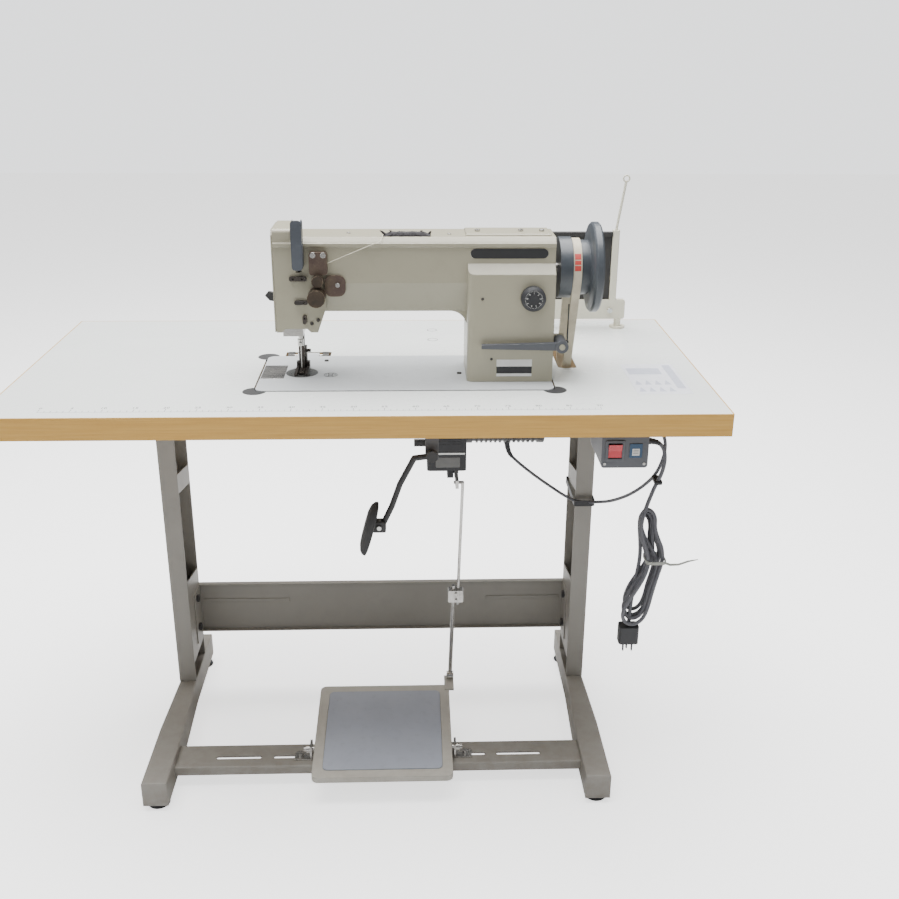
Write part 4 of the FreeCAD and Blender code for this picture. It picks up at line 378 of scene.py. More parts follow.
# %% Edge group
EDGE_SAMPLES = 4
net, given, out = group("soft_edges", [("Radius", FLOAT, 0.0012), ("Breakup Scale", FLOAT, 90.0)],
                        [("Normal", VECTOR), ("Wear", FLOAT)])
round_normal = net.add("ShaderNodeBevel", samples=EDGE_SAMPLES,
                       inputs={"Radius": given["Radius"]}).outputs[0]
surface = net.add("ShaderNodeNewGeometry")
alike = net.add("ShaderNodeVectorMath", operation="DOT_PRODUCT",
                inputs={0: round_normal, 1: surface.outputs["Normal"]}).outputs["Value"]
edge = net.remap(alike, 0.985, 0.80)
place = net.add("ShaderNodeTexCoord").outputs["Object"]
patchy = net.remap(net.noise(place, given["Breakup Scale"]), 0.42, 0.62)
net.tree.links.new(round_normal, out["Normal"])
net.tree.links.new(net.math("MULTIPLY", edge, patchy), out["Wear"])

# %% [markdown]
# ### Mottling and dirt
# Paint that has stood in a workshop is not one colour. A wide, soft noise shifts it a little, and a
# finer one gathers into smudges. Dirt is the same idea with a height: it is thickest near the floor.

# %% Mottle and dirt groups
net, given, out = group("mottle", [("Colour", COLOUR, None), ("Second", COLOUR, None), ("Scale", FLOAT, 7.0),
                                   ("Smudges", FLOAT, 0.3)], [("Colour", COLOUR), ("Mask", FLOAT)])
place = net.add("ShaderNodeTexCoord").outputs["Object"]
wide = net.remap(net.noise(place, given["Scale"], 4.0), 0.35, 0.70)
fine = net.remap(net.noise(place, net.math("MULTIPLY", given["Scale"], 7.0), 5.0, 0.7), 0.52, 0.74)
smudge = net.math("MULTIPLY", fine, given["Smudges"])
mask = net.math("ADD", net.math("MULTIPLY", wide, 0.5), smudge, clamp=True)
net.tree.links.new(net.mix(mask, given["Colour"], given["Second"]), out["Colour"])
net.tree.links.new(mask, out["Mask"])

net, given, out = group("floor_dirt", [("Colour", COLOUR, None), ("Dirt", COLOUR, None),
                                       ("Height", FLOAT, 0.12), ("Amount", FLOAT, 0.6)],
                        [("Colour", COLOUR), ("Mask", FLOAT)])
place = net.add("ShaderNodeTexCoord").outputs["Object"]
height = net.add("ShaderNodeSeparateXYZ", inputs={0: place}).outputs["Z"]
low = net.remap(net.math("DIVIDE", height, given["Height"]), 1.0, 0.0)
broken = net.remap(net.noise(place, 38.0, 5.0, 0.7), 0.35, 0.65)
mask = net.math("MULTIPLY", net.math("MULTIPLY", low, broken), given["Amount"])
net.tree.links.new(net.mix(mask, given["Colour"], given["Dirt"]), out["Colour"])
net.tree.links.new(mask, out["Mask"])

# %% [markdown]
# ### Grain, brushing and weave
# A fine noise pressed into the normal makes a sprayed coat or moulded plastic. The same noise drawn
# out along one axis makes brushed steel, and two crossed waves make a woven belt.

# %% Texture groups
net, given, out = group("grain", [("Scale", FLOAT, 900.0)], [("Height", FLOAT)])
place = net.add("ShaderNodeTexCoord").outputs["Object"]
net.tree.links.new(net.noise(place, given["Scale"], 2.0, 0.5), out["Height"])

net, given, out = group("brushing", [("Along", VECTOR, (1.0, 60.0, 60.0)), ("Scale", FLOAT, 24.0)],
                        [("Streaks", FLOAT)])
place = net.stretched(net.add("ShaderNodeTexCoord").outputs["Object"], given["Along"])
net.tree.links.new(net.noise(place, given["Scale"], 4.0, 0.65), out["Streaks"])

net, given, out = group("weave", [("Threads per Metre", FLOAT, 900.0)], [("Height", FLOAT)])
place = net.add("ShaderNodeTexCoord").outputs["Object"]
axes = net.add("ShaderNodeSeparateXYZ", inputs={0: place}).outputs
across = net.math("SINE", net.math("MULTIPLY", axes["X"], given["Threads per Metre"]))
upright = net.math("ADD", axes["Y"], axes["Z"])
along = net.math("SINE", net.math("MULTIPLY", upright, given["Threads per Metre"]))
net.tree.links.new(net.remap(net.math("MULTIPLY", across, along), -1.0, 1.0), out["Height"])
print("shader groups:", [g.name for g in bpy.data.node_groups])


# %% [markdown]
# ## The finishes
# Each finish is one short function call: a colour, a second colour to mottle it with, how shiny it
# is, and which effects it has. The Principled shader stays in the material itself, where its own
# dials, such as metal or coat, are set.

# %% Finish builder
PRESS_DEPTH, WORN_METAL, STREAK_TONE = 0.0004, 0.8, 0.62


def placed(net, name, **inputs):
    """A shared group, placed in a material's tree."""
    node = net.add("ShaderNodeGroup", node_tree=bpy.data.node_groups[name])
    for label, value in inputs.items():
        socket = node.inputs[label.replace("_", " ")]
        if isinstance(value, bpy.types.NodeSocket):
            net.tree.links.new(value, socket)
        else:
            socket.default_value = value
    return node.outputs


def rgba(colour):
    """A colour of three numbers as the four that a socket takes."""
    return (*colour, 1.0)


def start_finish(name):
    """A new material: itself, its Net and its Principled shader."""
    material = bpy.data.materials.new(name)
    material.use_nodes = True
    return material, Net(material.node_tree), material.node_tree.nodes["Principled BSDF"]


def bump(net, height, strength, distance, normal):
    """A height pressed into a normal."""
    return net.add("ShaderNodeBump", inputs={
        "Height": height, "Strength": strength, "Distance": distance, "Normal": normal}).outputs["Normal"]


def finish(name, colour, second, roughness, metallic=0.0, wear=None, wear_share=0.6, edge=0.0012,
           grain=900.0, press=0.12, scale=7.0, smudges=0.3, coat=0.0, dirt=None, dirt_height=0.12,
           brush=None):
    """A finish of paint, plastic, rubber or metal, with the effects that its arguments ask for."""
    material, net, shader = start_finish(name)
    edges = placed(net, "soft_edges", Radius=edge)
    mottled = placed(net, "mottle", Colour=rgba(colour), Second=rgba(second), Scale=scale, Smudges=smudges)
    shade = mottled["Colour"]
    if dirt:
        shade = placed(net, "floor_dirt", Colour=shade, Dirt=rgba(dirt), Height=dirt_height)["Colour"]
    if wear:
        worn = net.math("MULTIPLY", edges["Wear"], wear_share)
        shade = net.mix(worn, shade, rgba(wear))
        net.tree.links.new(net.remap(worn, 0.0, 1.0, metallic, WORN_METAL), shader.inputs["Metallic"])
    else:
        shader.inputs["Metallic"].default_value = metallic
    height = placed(net, "grain", Scale=grain)["Height"]
    rough = net.remap(mottled["Mask"], 0.0, 1.0, roughness, min(1.0, roughness + 0.16))
    if brush:
        streaks = placed(net, "brushing", Along=brush)["Streaks"]
        in_streak = [c * STREAK_TONE for c in colour]
        rough = net.math("ADD", rough, net.remap(streaks, 0.3, 0.7, -0.10, 0.12))
        shade = net.mix(net.remap(streaks, 0.3, 0.7, 0.0, 0.28), shade, rgba(in_streak))
        height = streaks
    net.tree.links.new(shade, shader.inputs["Base Color"])
    net.tree.links.new(rough, shader.inputs["Roughness"])
    net.tree.links.new(bump(net, height, press, PRESS_DEPTH, edges["Normal"]), shader.inputs["Normal"])
    shader.inputs["Coat Weight"].default_value = coat
    return material


# %% The plain finishes
HEAD_TONE, HEAD_SHADOW = (0.37, 0.345, 0.255), (0.30, 0.28, 0.205)
STAND_TONE, STAND_SHADOW = (0.31, 0.295, 0.265), (0.245, 0.23, 0.205)
BRIGHT_EDGE = (0.62, 0.60, 0.56)

FINISHES = {
    "head_paint": finish("head_enamel", HEAD_TONE, HEAD_SHADOW, 0.36, wear=BRIGHT_EDGE, wear_share=0.35,
                         edge=0.0025, grain=700, press=0.10, scale=5.0, coat=0.25),
    "bed_paint": finish("bed_enamel", (0.53, 0.55, 0.56), (0.44, 0.45, 0.46), 0.30, wear=BRIGHT_EDGE,
                        wear_share=0.5, edge=0.0015, grain=800, press=0.08, scale=9.0, smudges=0.45),
    "stand_paint": finish("stand_coat", STAND_TONE, STAND_SHADOW, 0.42, wear=(0.33, 0.30, 0.27),
                          wear_share=0.5, edge=0.0022, grain=420, press=0.25, scale=4.0,
                          dirt=(0.17, 0.14, 0.11), dirt_height=0.10),
    "pedal_casting": finish("pedal_enamel", (0.53, 0.51, 0.455), (0.43, 0.41, 0.365), 0.45,
                            wear=(0.30, 0.27, 0.23), wear_share=0.5, edge=0.0020, grain=500, press=0.22,
                            scale=8.0, dirt=(0.22, 0.19, 0.15), dirt_height=0.10),
    "motor_paint": finish("motor_black", (0.035, 0.036, 0.04), (0.075, 0.072, 0.07), 0.42,
                          wear=(0.30, 0.30, 0.30), wear_share=0.3, grain=600, press=0.2),
    "wheel_casting": finish("wheel_slate", (0.045, 0.053, 0.062), (0.085, 0.095, 0.11), 0.34,
                            wear=(0.42, 0.44, 0.48), wear_share=0.35, edge=0.0020, grain=700, press=0.10,
                            scale=12.0),
    "lever_paint": finish("lever_grey", (0.075, 0.08, 0.092), (0.12, 0.125, 0.14), 0.38,
                          wear=(0.4, 0.4, 0.4)),
    "cream_paint": finish("cream_enamel", (0.70, 0.68, 0.56), (0.60, 0.57, 0.46), 0.38,
                          wear=(0.40, 0.33, 0.24), wear_share=0.6, edge=0.0015, scale=10.0, smudges=0.4),
    "black_steel": finish("black_steel", (0.028, 0.028, 0.030), (0.060, 0.056, 0.052), 0.48,
                          wear=(0.33, 0.32, 0.31), wear_share=0.5, scale=14.0),
    "cast_iron": finish("painted_iron", (0.09, 0.09, 0.10), (0.15, 0.145, 0.14), 0.5, wear=(0.4, 0.4, 0.4),
                        grain=380, press=0.35),
    "dark_nut": finish("blackened_brass", (0.055, 0.045, 0.036), (0.16, 0.11, 0.07), 0.36, metallic=0.7,
                       wear=(0.50, 0.40, 0.28), scale=30.0),
    "black_plastic": finish("moulded_black", (0.022, 0.023, 0.026), (0.045, 0.045, 0.048), 0.46, grain=1200,
                            press=0.16, scale=20.0),
    "guard_plastic": finish("moulded_slate", (0.058, 0.066, 0.080), (0.10, 0.11, 0.13), 0.40, edge=0.0022,
                            grain=1100, press=0.10, scale=20.0),
    "switch_plastic": finish("moulded_grey", (0.10, 0.105, 0.118), (0.15, 0.155, 0.17), 0.42, edge=0.0018,
                             grain=1000, press=0.18, scale=12.0),
    "rubber": finish("black_rubber", (0.030, 0.030, 0.031), (0.060, 0.058, 0.056), 0.72,
                     grain=600, press=0.3, scale=18.0),
    "mat_rubber": finish("mat_rubber", (0.40, 0.43, 0.50), (0.33, 0.35, 0.41), 0.55, grain=450, press=0.35,
                         edge=0.0015, scale=9.0, smudges=0.5),
    "cable_jacket": finish("cord_sheath", (0.10, 0.10, 0.115), (0.16, 0.16, 0.17), 0.5,
                           grain=900, press=0.12, edge=0.0004, scale=30.0),
}
STEEL, STEEL_SHADOW = (0.55, 0.54, 0.52), (0.36, 0.34, 0.31)
ALONG_X, ALONG_Z = (1.0, 60.0, 60.0), (60.0, 60.0, 1.0)
FINISHES["bright_steel"] = finish("polished_steel", STEEL, STEEL_SHADOW, 0.24, metallic=1.0, edge=0.0006,
                                  scale=25.0, smudges=0.5, brush=ALONG_X, press=0.06)
bar_steel = finish("ground_steel", (0.60, 0.59, 0.57), STEEL_SHADOW, 0.20, metallic=1.0, edge=0.0004,
                   scale=30.0, smudges=0.4, brush=ALONG_Z, press=0.05)
oiled_steel = finish("oil_browned_steel", (0.060, 0.055, 0.052), (0.13, 0.105, 0.085), 0.34, metallic=0.75,
                     wear=(0.42, 0.38, 0.33), edge=0.0006, scale=40.0, press=0.08)
aged_brass = finish("browned_bracket", (0.10, 0.068, 0.058), (0.19, 0.15, 0.10), 0.38, metallic=0.55,
                    wear=(0.55, 0.45, 0.30), edge=0.0005, scale=45.0, smudges=0.5)
dark_plate = finish("greyed_plate", (0.26, 0.265, 0.26), (0.17, 0.165, 0.155), 0.28, metallic=0.9,
                    edge=0.0004, scale=38.0, smudges=0.7, brush=ALONG_X)
# Painted shade: a near-black card on the guard's panel stands for the dark, shaded inside of the guard.
guard_shade_card = finish("guard_shade_card", (0.018, 0.018, 0.019), (0.040, 0.036, 0.032), 0.6, scale=16.0)
zinc = finish("zinc_plate", (0.62, 0.63, 0.62), (0.45, 0.44, 0.40), 0.30, metallic=1.0, edge=0.0006,
              scale=40.0, smudges=0.6)
print("plain finishes:", len(FINISHES))

# %% [markdown]
# ### The table's laminate
# The top is a white laminate, glossy, with faint smears where cloth and hands slide. Only its upper
# face is laminate: the sides of the cut-outs and the underside are raw board, and the height above
# the floor tells them apart.

# %% Laminate
TABLE_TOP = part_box("tabletop")[1].z
material, net, shader = start_finish("white_laminate")
texture_place = net.add("ShaderNodeTexCoord").outputs["Object"]
height = net.add("ShaderNodeSeparateXYZ", inputs={0: texture_place}).outputs["Z"]
smears = net.remap(net.noise(net.stretched(texture_place, (1.0, 2.2, 1.0)), 5.0, 6.0, 0.65), 0.40, 0.72)
specks = net.remap(net.noise(texture_place, 260.0, 2.0), 0.66, 0.74)
white = net.mix(net.math("MULTIPLY", smears, 0.5), rgba((0.83, 0.855, 0.835)), rgba((0.76, 0.785, 0.765)))
white = net.mix(net.math("MULTIPLY", specks, 0.35), white, rgba((0.48, 0.46, 0.42)))
board_grain = net.remap(net.noise(net.stretched(texture_place, (3.0, 40.0, 220.0)), 6.0, 5.0, 0.6), 0.3, 0.7)
board = net.mix(board_grain, rgba((0.34, 0.24, 0.14)), rgba((0.52, 0.39, 0.24)))
on_top = net.remap(height, TABLE_TOP - 0.0012, TABLE_TOP - 0.0008)
net.tree.links.new(net.mix(on_top, board, white), shader.inputs["Base Color"])
net.tree.links.new(net.mix(on_top, rgba((0.8, 0.8, 0.8)), net.remap(smears, 0, 1, 0.22, 0.36)),
                   shader.inputs["Roughness"])
net.tree.links.new(bump(net, net.noise(texture_place, 500.0, 2.0), 0.05, 0.0003,
                        placed(net, "soft_edges", Radius=0.0008)["Normal"]), shader.inputs["Normal"])
shader.inputs["Coat Weight"].default_value = 0.2
FINISHES["laminate"] = material

# %% [markdown]
# ### The edge band
# The yellow band is a printed wood: long streaks run round the table, along X on the front and back
# and along Y at the ends, so one noise is drawn out along both level axes and kept fine in Z.

# %% Edge band
material, net, shader = start_finish("wood_edge_band")
texture_place = net.add("ShaderNodeTexCoord").outputs["Object"]
streaks = net.remap(net.noise(net.stretched(texture_place, (1.0, 1.0, 38.0)), 9.0, 6.0, 0.6), 0.30, 0.70)
fibres = net.remap(net.noise(net.stretched(texture_place, (4.0, 4.0, 420.0)), 7.0, 4.0, 0.7), 0.40, 0.60)
wood = net.mix(streaks, rgba((0.60, 0.32, 0.055)), rgba((0.72, 0.43, 0.10)))
wood = net.mix(net.math("MULTIPLY", fibres, 0.30), wood, rgba((0.48, 0.26, 0.07)))
edges = placed(net, "soft_edges", Radius=0.0015)
wood = net.mix(net.math("MULTIPLY", edges["Wear"], 0.5), wood, rgba((0.80, 0.66, 0.42)))
net.tree.links.new(wood, shader.inputs["Base Color"])
net.tree.links.new(net.remap(fibres, 0, 1, 0.34, 0.50), shader.inputs["Roughness"])
net.tree.links.new(bump(net, fibres, 0.10, 0.0003, edges["Normal"]), shader.inputs["Normal"])
FINISHES["edge_band"] = material

# %% [markdown]
# ### Belts and the lit rocker
# A machine belt is cotton over rubber: pale, woven and soiled in patches. The rocker is a glossy red
# plastic, and the thread a pale, rough fibre.

# %% Belt, thread and rocker
material, net, shader = start_finish("woven_belt")
texture_place = net.add("ShaderNodeTexCoord").outputs["Object"]
cloth = placed(net, "weave", **{"Threads_per_Metre": 2600.0})["Height"]
soil = net.remap(net.noise(texture_place, 26.0, 5.0, 0.7), 0.35, 0.70)
tone = net.mix(soil, rgba((0.68, 0.62, 0.48)), rgba((0.50, 0.44, 0.33)))
tone = net.mix(net.math("MULTIPLY", cloth, 0.3), tone, rgba((0.30, 0.26, 0.20)))
net.tree.links.new(tone, shader.inputs["Base Color"])
net.tree.links.new(net.remap(soil, 0, 1, 0.7, 0.85), shader.inputs["Roughness"])
net.tree.links.new(bump(net, cloth, 0.4, 0.0003, placed(net, "soft_edges", Radius=0.001)["Normal"]),
                   shader.inputs["Normal"])
FINISHES["belt_rubber"] = material

FINISHES["thread"] = finish("waxed_thread", (0.78, 0.74, 0.60), (0.62, 0.57, 0.44), 0.6, edge=0.0001,
                            grain=2200, press=0.2, scale=90.0)
FINISHES["red_plastic"] = finish("red_rocker", (0.62, 0.02, 0.035), (0.40, 0.008, 0.02), 0.22, edge=0.0008,
                                 grain=900, press=0.05, scale=60.0, coat=0.4)

# %% [markdown]
# ## Dress the frame
# The record names a slot for each node. A node's mesh is never touched: its material slot simply
# gets the new finish. A few nodes share a slot but not an age, so they have a finish of their own: the
# bars are ground along Z, the feet are browned with oil, and the needle plate has gone grey. The
# guard's panel gets a near-black card instead: painted shade for the dark inside of the guard.

# %% Assign
OWN_FINISH = {"needle_bar": bar_steel, "pitman_rods": bar_steel, "presser_bar": oiled_steel,
              "walking_bar": oiled_steel, "thread_guides": oiled_steel, "tension_bracket": aged_brass,
              "needle_plate": dark_plate, "guard_panel": guard_shade_card}
slot_of = {row["node"]: row["material_slot"] for row in frame["record"]["subparts"]}
for node, piece in nodes.items():
    chosen = OWN_FINISH.get(node, FINISHES[slot_of[node]])
    if not piece.material_slots:
        piece.data.materials.append(chosen)
    for holder in piece.material_slots:
        holder.material = chosen
print("dressed", len(nodes), "nodes")


# %% [markdown]
# ## What the frame doesn't carry
# Screws, marks, plates and the pad are small, but they are what tells a real machine from a model of
# one. Flat things such as plates are a closed outline given a thickness, with a narrow bevel. One
# helper makes them all, in the plane that they lie in.

# %% Plates from outlines
ARC_STEPS = 6
INK_SHADE = 0.8
made = []


def rounded(low, high, radius):
    """Corner-rounded rectangle as a loop of points, anticlockwise, between two corners."""
    left, right = low[0] + radius, high[0] - radius
    bottom, top = low[1] + radius, high[1] - radius
    loop = []
    for turn, (cx, cy) in enumerate(((right, top), (left, top), (left, bottom), (right, bottom))):
        for step in range(ARC_STEPS + 1):
            angle = math.radians(90 * (turn + step / ARC_STEPS))
            loop.append((cx + radius * math.cos(angle), cy + radius * math.sin(angle)))
    return loop


def grown(loop, amount):
    """A loop whose points move away from its middle by an amount, or towards it."""
    middle = [sum(point[i] for point in loop) / len(loop) for i in (0, 1)]
    moved = []
    for point in loop:
        away = Vector((point[0] - middle[0], point[1] - middle[1]))
        moved.append((point[0] + away.x / away.length * amount, point[1] + away.y / away.length * amount))
    return moved


PLANES = {"front": lambda u, v, out: (u, -out, v), "top": lambda u, v, out: (u, v, out)}


def plate(name, loop, base, thick, plane, material, bevel=0.25):
    """A closed plate: a loop in millimetres, standing out from a base by a thickness, edge bevelled."""
    rings = [(loop, base), (loop, base + thick - bevel), (grown(loop, -bevel), base + thick)]
    place = PLANES[plane]
    vertices = [Vector(place(u, v, out)) * MM for ring, out in rings for u, v in ring]
    count = len(loop)
    faces = [[level * count + k, level * count + (k + 1) % count, (level + 1) * count + (k + 1) % count,
              (level + 1) * count + k] for level in (0, 1) for k in range(count)]
    faces += [list(range(count))[::-1], [2 * count + k for k in range(count)]]
    piece = mesh_piece(name, vertices, faces, material)
    outward(piece)
    return piece


def outward(piece):
    """Make every face of a closed mesh look out."""
    mesh = bmesh.new()
    mesh.from_mesh(piece.data)
    bmesh.ops.recalc_face_normals(mesh, faces=mesh.faces)
    mesh.to_mesh(piece.data)
    mesh.free()


def joined(name, pieces):
    """Several pieces as one mesh, with their materials kept."""
    mesh = bmesh.new()
    materials = []
    for piece in pieces:
        for material in piece.data.materials:
            if material not in materials:
                materials.append(material)
        start = len(mesh.faces)
        mesh.from_mesh(piece.data)
        mesh.faces.ensure_lookup_table()
        for face in mesh.faces[start:]:
            face.material_index = materials.index(piece.data.materials[face.material_index])
        bpy.data.objects.remove(piece)
    whole = mesh_piece(name, [], [])
    mesh.to_mesh(whole.data)
    mesh.free()
    for material in materials:
        whole.data.materials.append(material)
    return whole


def keep(piece, body, replaced=()):
    """Put a finished piece on its body, hide the parts it replaces, and note its name."""
    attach(piece, body)
    if replaced:
        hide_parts(*replaced)
    made.append(piece.name)


def paint(name, colour, roughness=0.45):
    """A printed ink or small painted mark, a little uneven."""
    darker = [c * INK_SHADE for c in colour]
    return finish(name, colour, darker, roughness, scale=60.0, grain=1200, press=0.05)


white_ink = paint("white_ink", (0.80, 0.80, 0.77))
grey_ink = paint("grey_ink", (0.17, 0.17, 0.165))
pale_ink = paint("pale_ink", (0.34, 0.36, 0.37))
black_ink = paint("black_ink", (0.020, 0.020, 0.022))
print("inks:", white_ink.name, grey_ink.name, pale_ink.name, black_ink.name)

# %% [markdown]
# ### Blank plates
# The arm carries a dark plate with round ends and a bright rim, and the column a paper label in three
# bands. Both are left blank. Each band is a plate of its own, so that its edge catches the light.

# %% Plates on the head
ARM_FACE, COLUMN_FACE = 113.0, 128.0
PILL_LOW, PILL_HIGH = (185.0, 977.5), (315.0, 994.0)
PILL_RIM = 0.6
pill_radius = (PILL_HIGH[1] - PILL_LOW[1]) / 2 - 0.01
pill = rounded(PILL_LOW, PILL_HIGH, pill_radius)
name_plate = joined("arm_name_plate", [
    plate("rim", grown(pill, PILL_RIM), ARM_FACE, 0.5, "front", FINISHES["bright_steel"]),
    plate("field", pill, ARM_FACE + 0.2, 0.7, "front", black_ink)])
keep(name_plate, "head")

LABEL_LEFT, LABEL_RIGHT, LABEL_BANDS = 231.0, 292.0, (776.0, 781.0, 793.5, 806.0)
bands = []
for low, high, ink in zip(LABEL_BANDS, LABEL_BANDS[1:], (white_ink, black_ink, white_ink)):
    outline = rounded((LABEL_LEFT, low), (LABEL_RIGHT, high), 0.4)
    bands.append(plate("band", outline, COLUMN_FACE, 0.3, "front", ink, 0.1))
keep(joined("column_label", bands), "head")

SWITCH_FACE = 278.8
shield = plate("shield", rounded((439.5, 683.0), (460.5, 707.5), 1.5), SWITCH_FACE, 0.6, "front",
               paint("blue_panel", (0.035, 0.085, 0.16), 0.3))
card = plate("card", rounded((444.0, 687.0), (456.0, 699.0), 0.6), SWITCH_FACE + 0.5, 0.3, "front",
             white_ink, 0.1)
marks = [plate("line", rounded((445.5, z), (454.5, z + 1.0), 0.3), SWITCH_FACE + 0.7, 0.15, "front",
               grey_ink, 0.05) for z in (690.0, 693.0, 696.0)]
keep(joined("switch_panel", [shield, card] + marks), "stand")
print("plates:", made)

# %% [markdown]
# ## Rows, rings and scattered screws
# Three things repeat on this machine: marks in a row, marks in a ring, and screws wherever two parts
# meet. Geometry Nodes suit all three, since a count or a pitch can be changed without touching the
# mesh. A tree ends in Realize Instances and Set Material, and its result is read once into a plain mesh.

# %% Geometry Nodes helpers


def node_tree(name, inputs):
    """An empty geometry tree with named inputs: its Net, its input sockets and its output node."""
    tree = bpy.data.node_groups.new(name, "GeometryNodeTree")
    tree.interface.new_socket("Geometry", in_out="INPUT", socket_type="NodeSocketGeometry")
    for label, kind in inputs:
        tree.interface.new_socket(label, in_out="INPUT", socket_type=kind)
    tree.interface.new_socket("Geometry", in_out="OUTPUT", socket_type="NodeSocketGeometry")
    net = Net(tree)
    return net, net.add("NodeGroupInput").outputs, net.add("NodeGroupOutput").inputs


def grow(name, tree_name, material, start=None, **values):
    """Run a geometry tree on an object and return its result as a plain mesh object."""
    holder = start or mesh_piece(name + "_seed", [], [])
    modifier = holder.modifiers.new("grow", "NODES")
    tree = bpy.data.node_groups[tree_name]
    modifier.node_group = tree
    sockets = {item.name: item.identifier for item in tree.interface.items_tree if item.in_out == "INPUT"}
    for label, value in dict(values, Material=material).items():
        modifier[sockets[label.replace("_", " ")]] = value
    bpy.context.view_layer.update()
    mesh = bpy.data.meshes.new_from_object(holder.evaluated_get(bpy.context.evaluated_depsgraph_get()))
    bpy.data.objects.remove(holder)
    piece = bpy.data.objects.new(name, mesh)
    mesh.name = name
    bpy.context.scene.collection.objects.link(piece)
    return piece


def end_tree(net, instances, material, output):
    """Realize the instances, give them a material and hand them out."""
    real = net.add("GeometryNodeRealizeInstances", inputs={0: instances}).outputs[0]
    painted = net.add("GeometryNodeSetMaterial", inputs={"Geometry": real, "Material": material})
    net.tree.links.new(painted.outputs[0], output)


# %% A row of bars
SIZES = [("Start", "NodeSocketVector"), ("Step", "NodeSocketVector"), ("Count", "NodeSocketInt"),
         ("Bar", "NodeSocketVector"), ("Material", "NodeSocketMaterial")]
net, given, out = node_tree("row_of_bars", SIZES)
line = net.add("GeometryNodeMeshLine", inputs={
    "Count": given["Count"], "Start Location": given["Start"], "Offset": given["Step"]}).outputs[0]
bar = net.add("GeometryNodeMeshCube", inputs={"Size": given["Bar"]}).outputs[0]
row = net.add("GeometryNodeInstanceOnPoints", inputs={"Points": line, "Instance": bar}).outputs[0]
end_tree(net, row, given["Material"], out["Geometry"])

# %% A ring of bars
net, given, out = node_tree("ring_of_bars", [
    ("Radius", "NodeSocketFloat"), ("Count", "NodeSocketInt"), ("Bar", "NodeSocketVector"),
    ("Middle", "NodeSocketVector"), ("Turn", "NodeSocketVector"), ("Material", "NodeSocketMaterial")])
circle = net.add("GeometryNodeMeshCircle", inputs={
    "Vertices": given["Count"], "Radius": given["Radius"]}).outputs[0]
outward_way = net.add("GeometryNodeInputPosition").outputs[0]
turned_bar = net.add("FunctionNodeAlignRotationToVector", axis="X",
                     inputs={"Vector": outward_way}).outputs[0]
bar = net.add("GeometryNodeMeshCube", inputs={"Size": given["Bar"]}).outputs[0]
ring = net.add("GeometryNodeInstanceOnPoints", inputs={
    "Points": circle, "Instance": bar, "Rotation": turned_bar}).outputs[0]
laid = net.add("GeometryNodeTransform", inputs={
    "Geometry": ring, "Translation": given["Middle"], "Rotation": given["Turn"]}).outputs[0]
end_tree(net, laid, given["Material"], out["Geometry"])

# %% Screws on points
net, given, out = node_tree("screws_on_points", [("Head", "NodeSocketObject"), ("Seed", "NodeSocketInt"),
                                                 ("Material", "NodeSocketMaterial")])
head = net.add("GeometryNodeObjectInfo", inputs={"Object": given["Head"]}).outputs["Geometry"]
facing = net.add("GeometryNodeInputNamedAttribute", data_type="FLOAT_VECTOR",
                 inputs={"Name": "facing"}).outputs[0]
width = net.add("GeometryNodeInputNamedAttribute", data_type="FLOAT", inputs={"Name": "width"}).outputs[0]
upright = net.add("FunctionNodeAlignRotationToVector", axis="Z", inputs={"Vector": facing}).outputs[0]
slot_turn = net.add("FunctionNodeRandomValue", data_type="FLOAT",
                    inputs={2: 0.0, 3: math.pi, "Seed": given["Seed"]}).outputs[1]
spin = net.add("FunctionNodeAxisAngleToRotation", inputs={"Axis": (0, 0, 1), "Angle": slot_turn}).outputs[0]
stance = net.add("FunctionNodeRotateRotation", rotation_space="LOCAL",
                 inputs={"Rotation": upright, "Rotate By": spin}).outputs[0]
screws = net.add("GeometryNodeInstanceOnPoints", inputs={
    "Points": given["Geometry"], "Instance": head, "Rotation": stance, "Scale": width}).outputs[0]
end_tree(net, screws, given["Material"], out["Geometry"])
geometry_trees = [tree.name for tree in bpy.data.node_groups if tree.bl_idname == "GeometryNodeTree"]
print("geometry trees:", geometry_trees)

# %% [markdown]
# ### The screw head
# A slotted cheese head: a disc, with two half-moons on it that leave the slot between them. Its radius
# is one unit, so the tree can scale it to any screw, and it has few faces, because it is used often.

# %% Screw head
HEAD_SIDES, HEAD_RISE, SLOT_FLOOR, SLOT_HALF, MOON_RADIUS = 20, 0.42, 0.22, 0.12, 0.96


def prism_part(loop, low, high):
    """Vertices and faces of a flat loop raised from one height to another."""
    count = len(loop)
    vertices = [(x, y, z) for z in (low, high) for x, y in loop]
    faces = [[k, (k + 1) % count, count + (k + 1) % count, count + k] for k in range(count)]
    return vertices, faces + [list(range(count))[::-1], [count + k for k in range(count)]]


def half_moon(side):
    """The part of the disc on one side of the slot, its rim pulled in a little."""
    edge = math.asin(SLOT_HALF / MOON_RADIUS)
    angles = [edge + (math.pi - 2 * edge) * k / (HEAD_SIDES // 2) for k in range(HEAD_SIDES // 2 + 1)]
    return [(MOON_RADIUS * math.cos(a), side * MOON_RADIUS * math.sin(a)) for a in angles[::side]]


rim_angles = [2 * math.pi * k / HEAD_SIDES for k in range(HEAD_SIDES)]
disc = [(math.cos(a), math.sin(a)) for a in rim_angles]
vertices, faces = [], []
for loop, low, high in ((disc, 0.0, SLOT_FLOOR), (half_moon(1), SLOT_FLOOR, HEAD_RISE),
                        (half_moon(-1), SLOT_FLOOR, HEAD_RISE)):
    part_vertices, part_faces = prism_part(loop, low, high)
    faces += [[index + len(vertices) for index in face] for face in part_faces]
    vertices += part_vertices
screw_head = mesh_piece("screw_head", vertices, faces)
outward(screw_head)


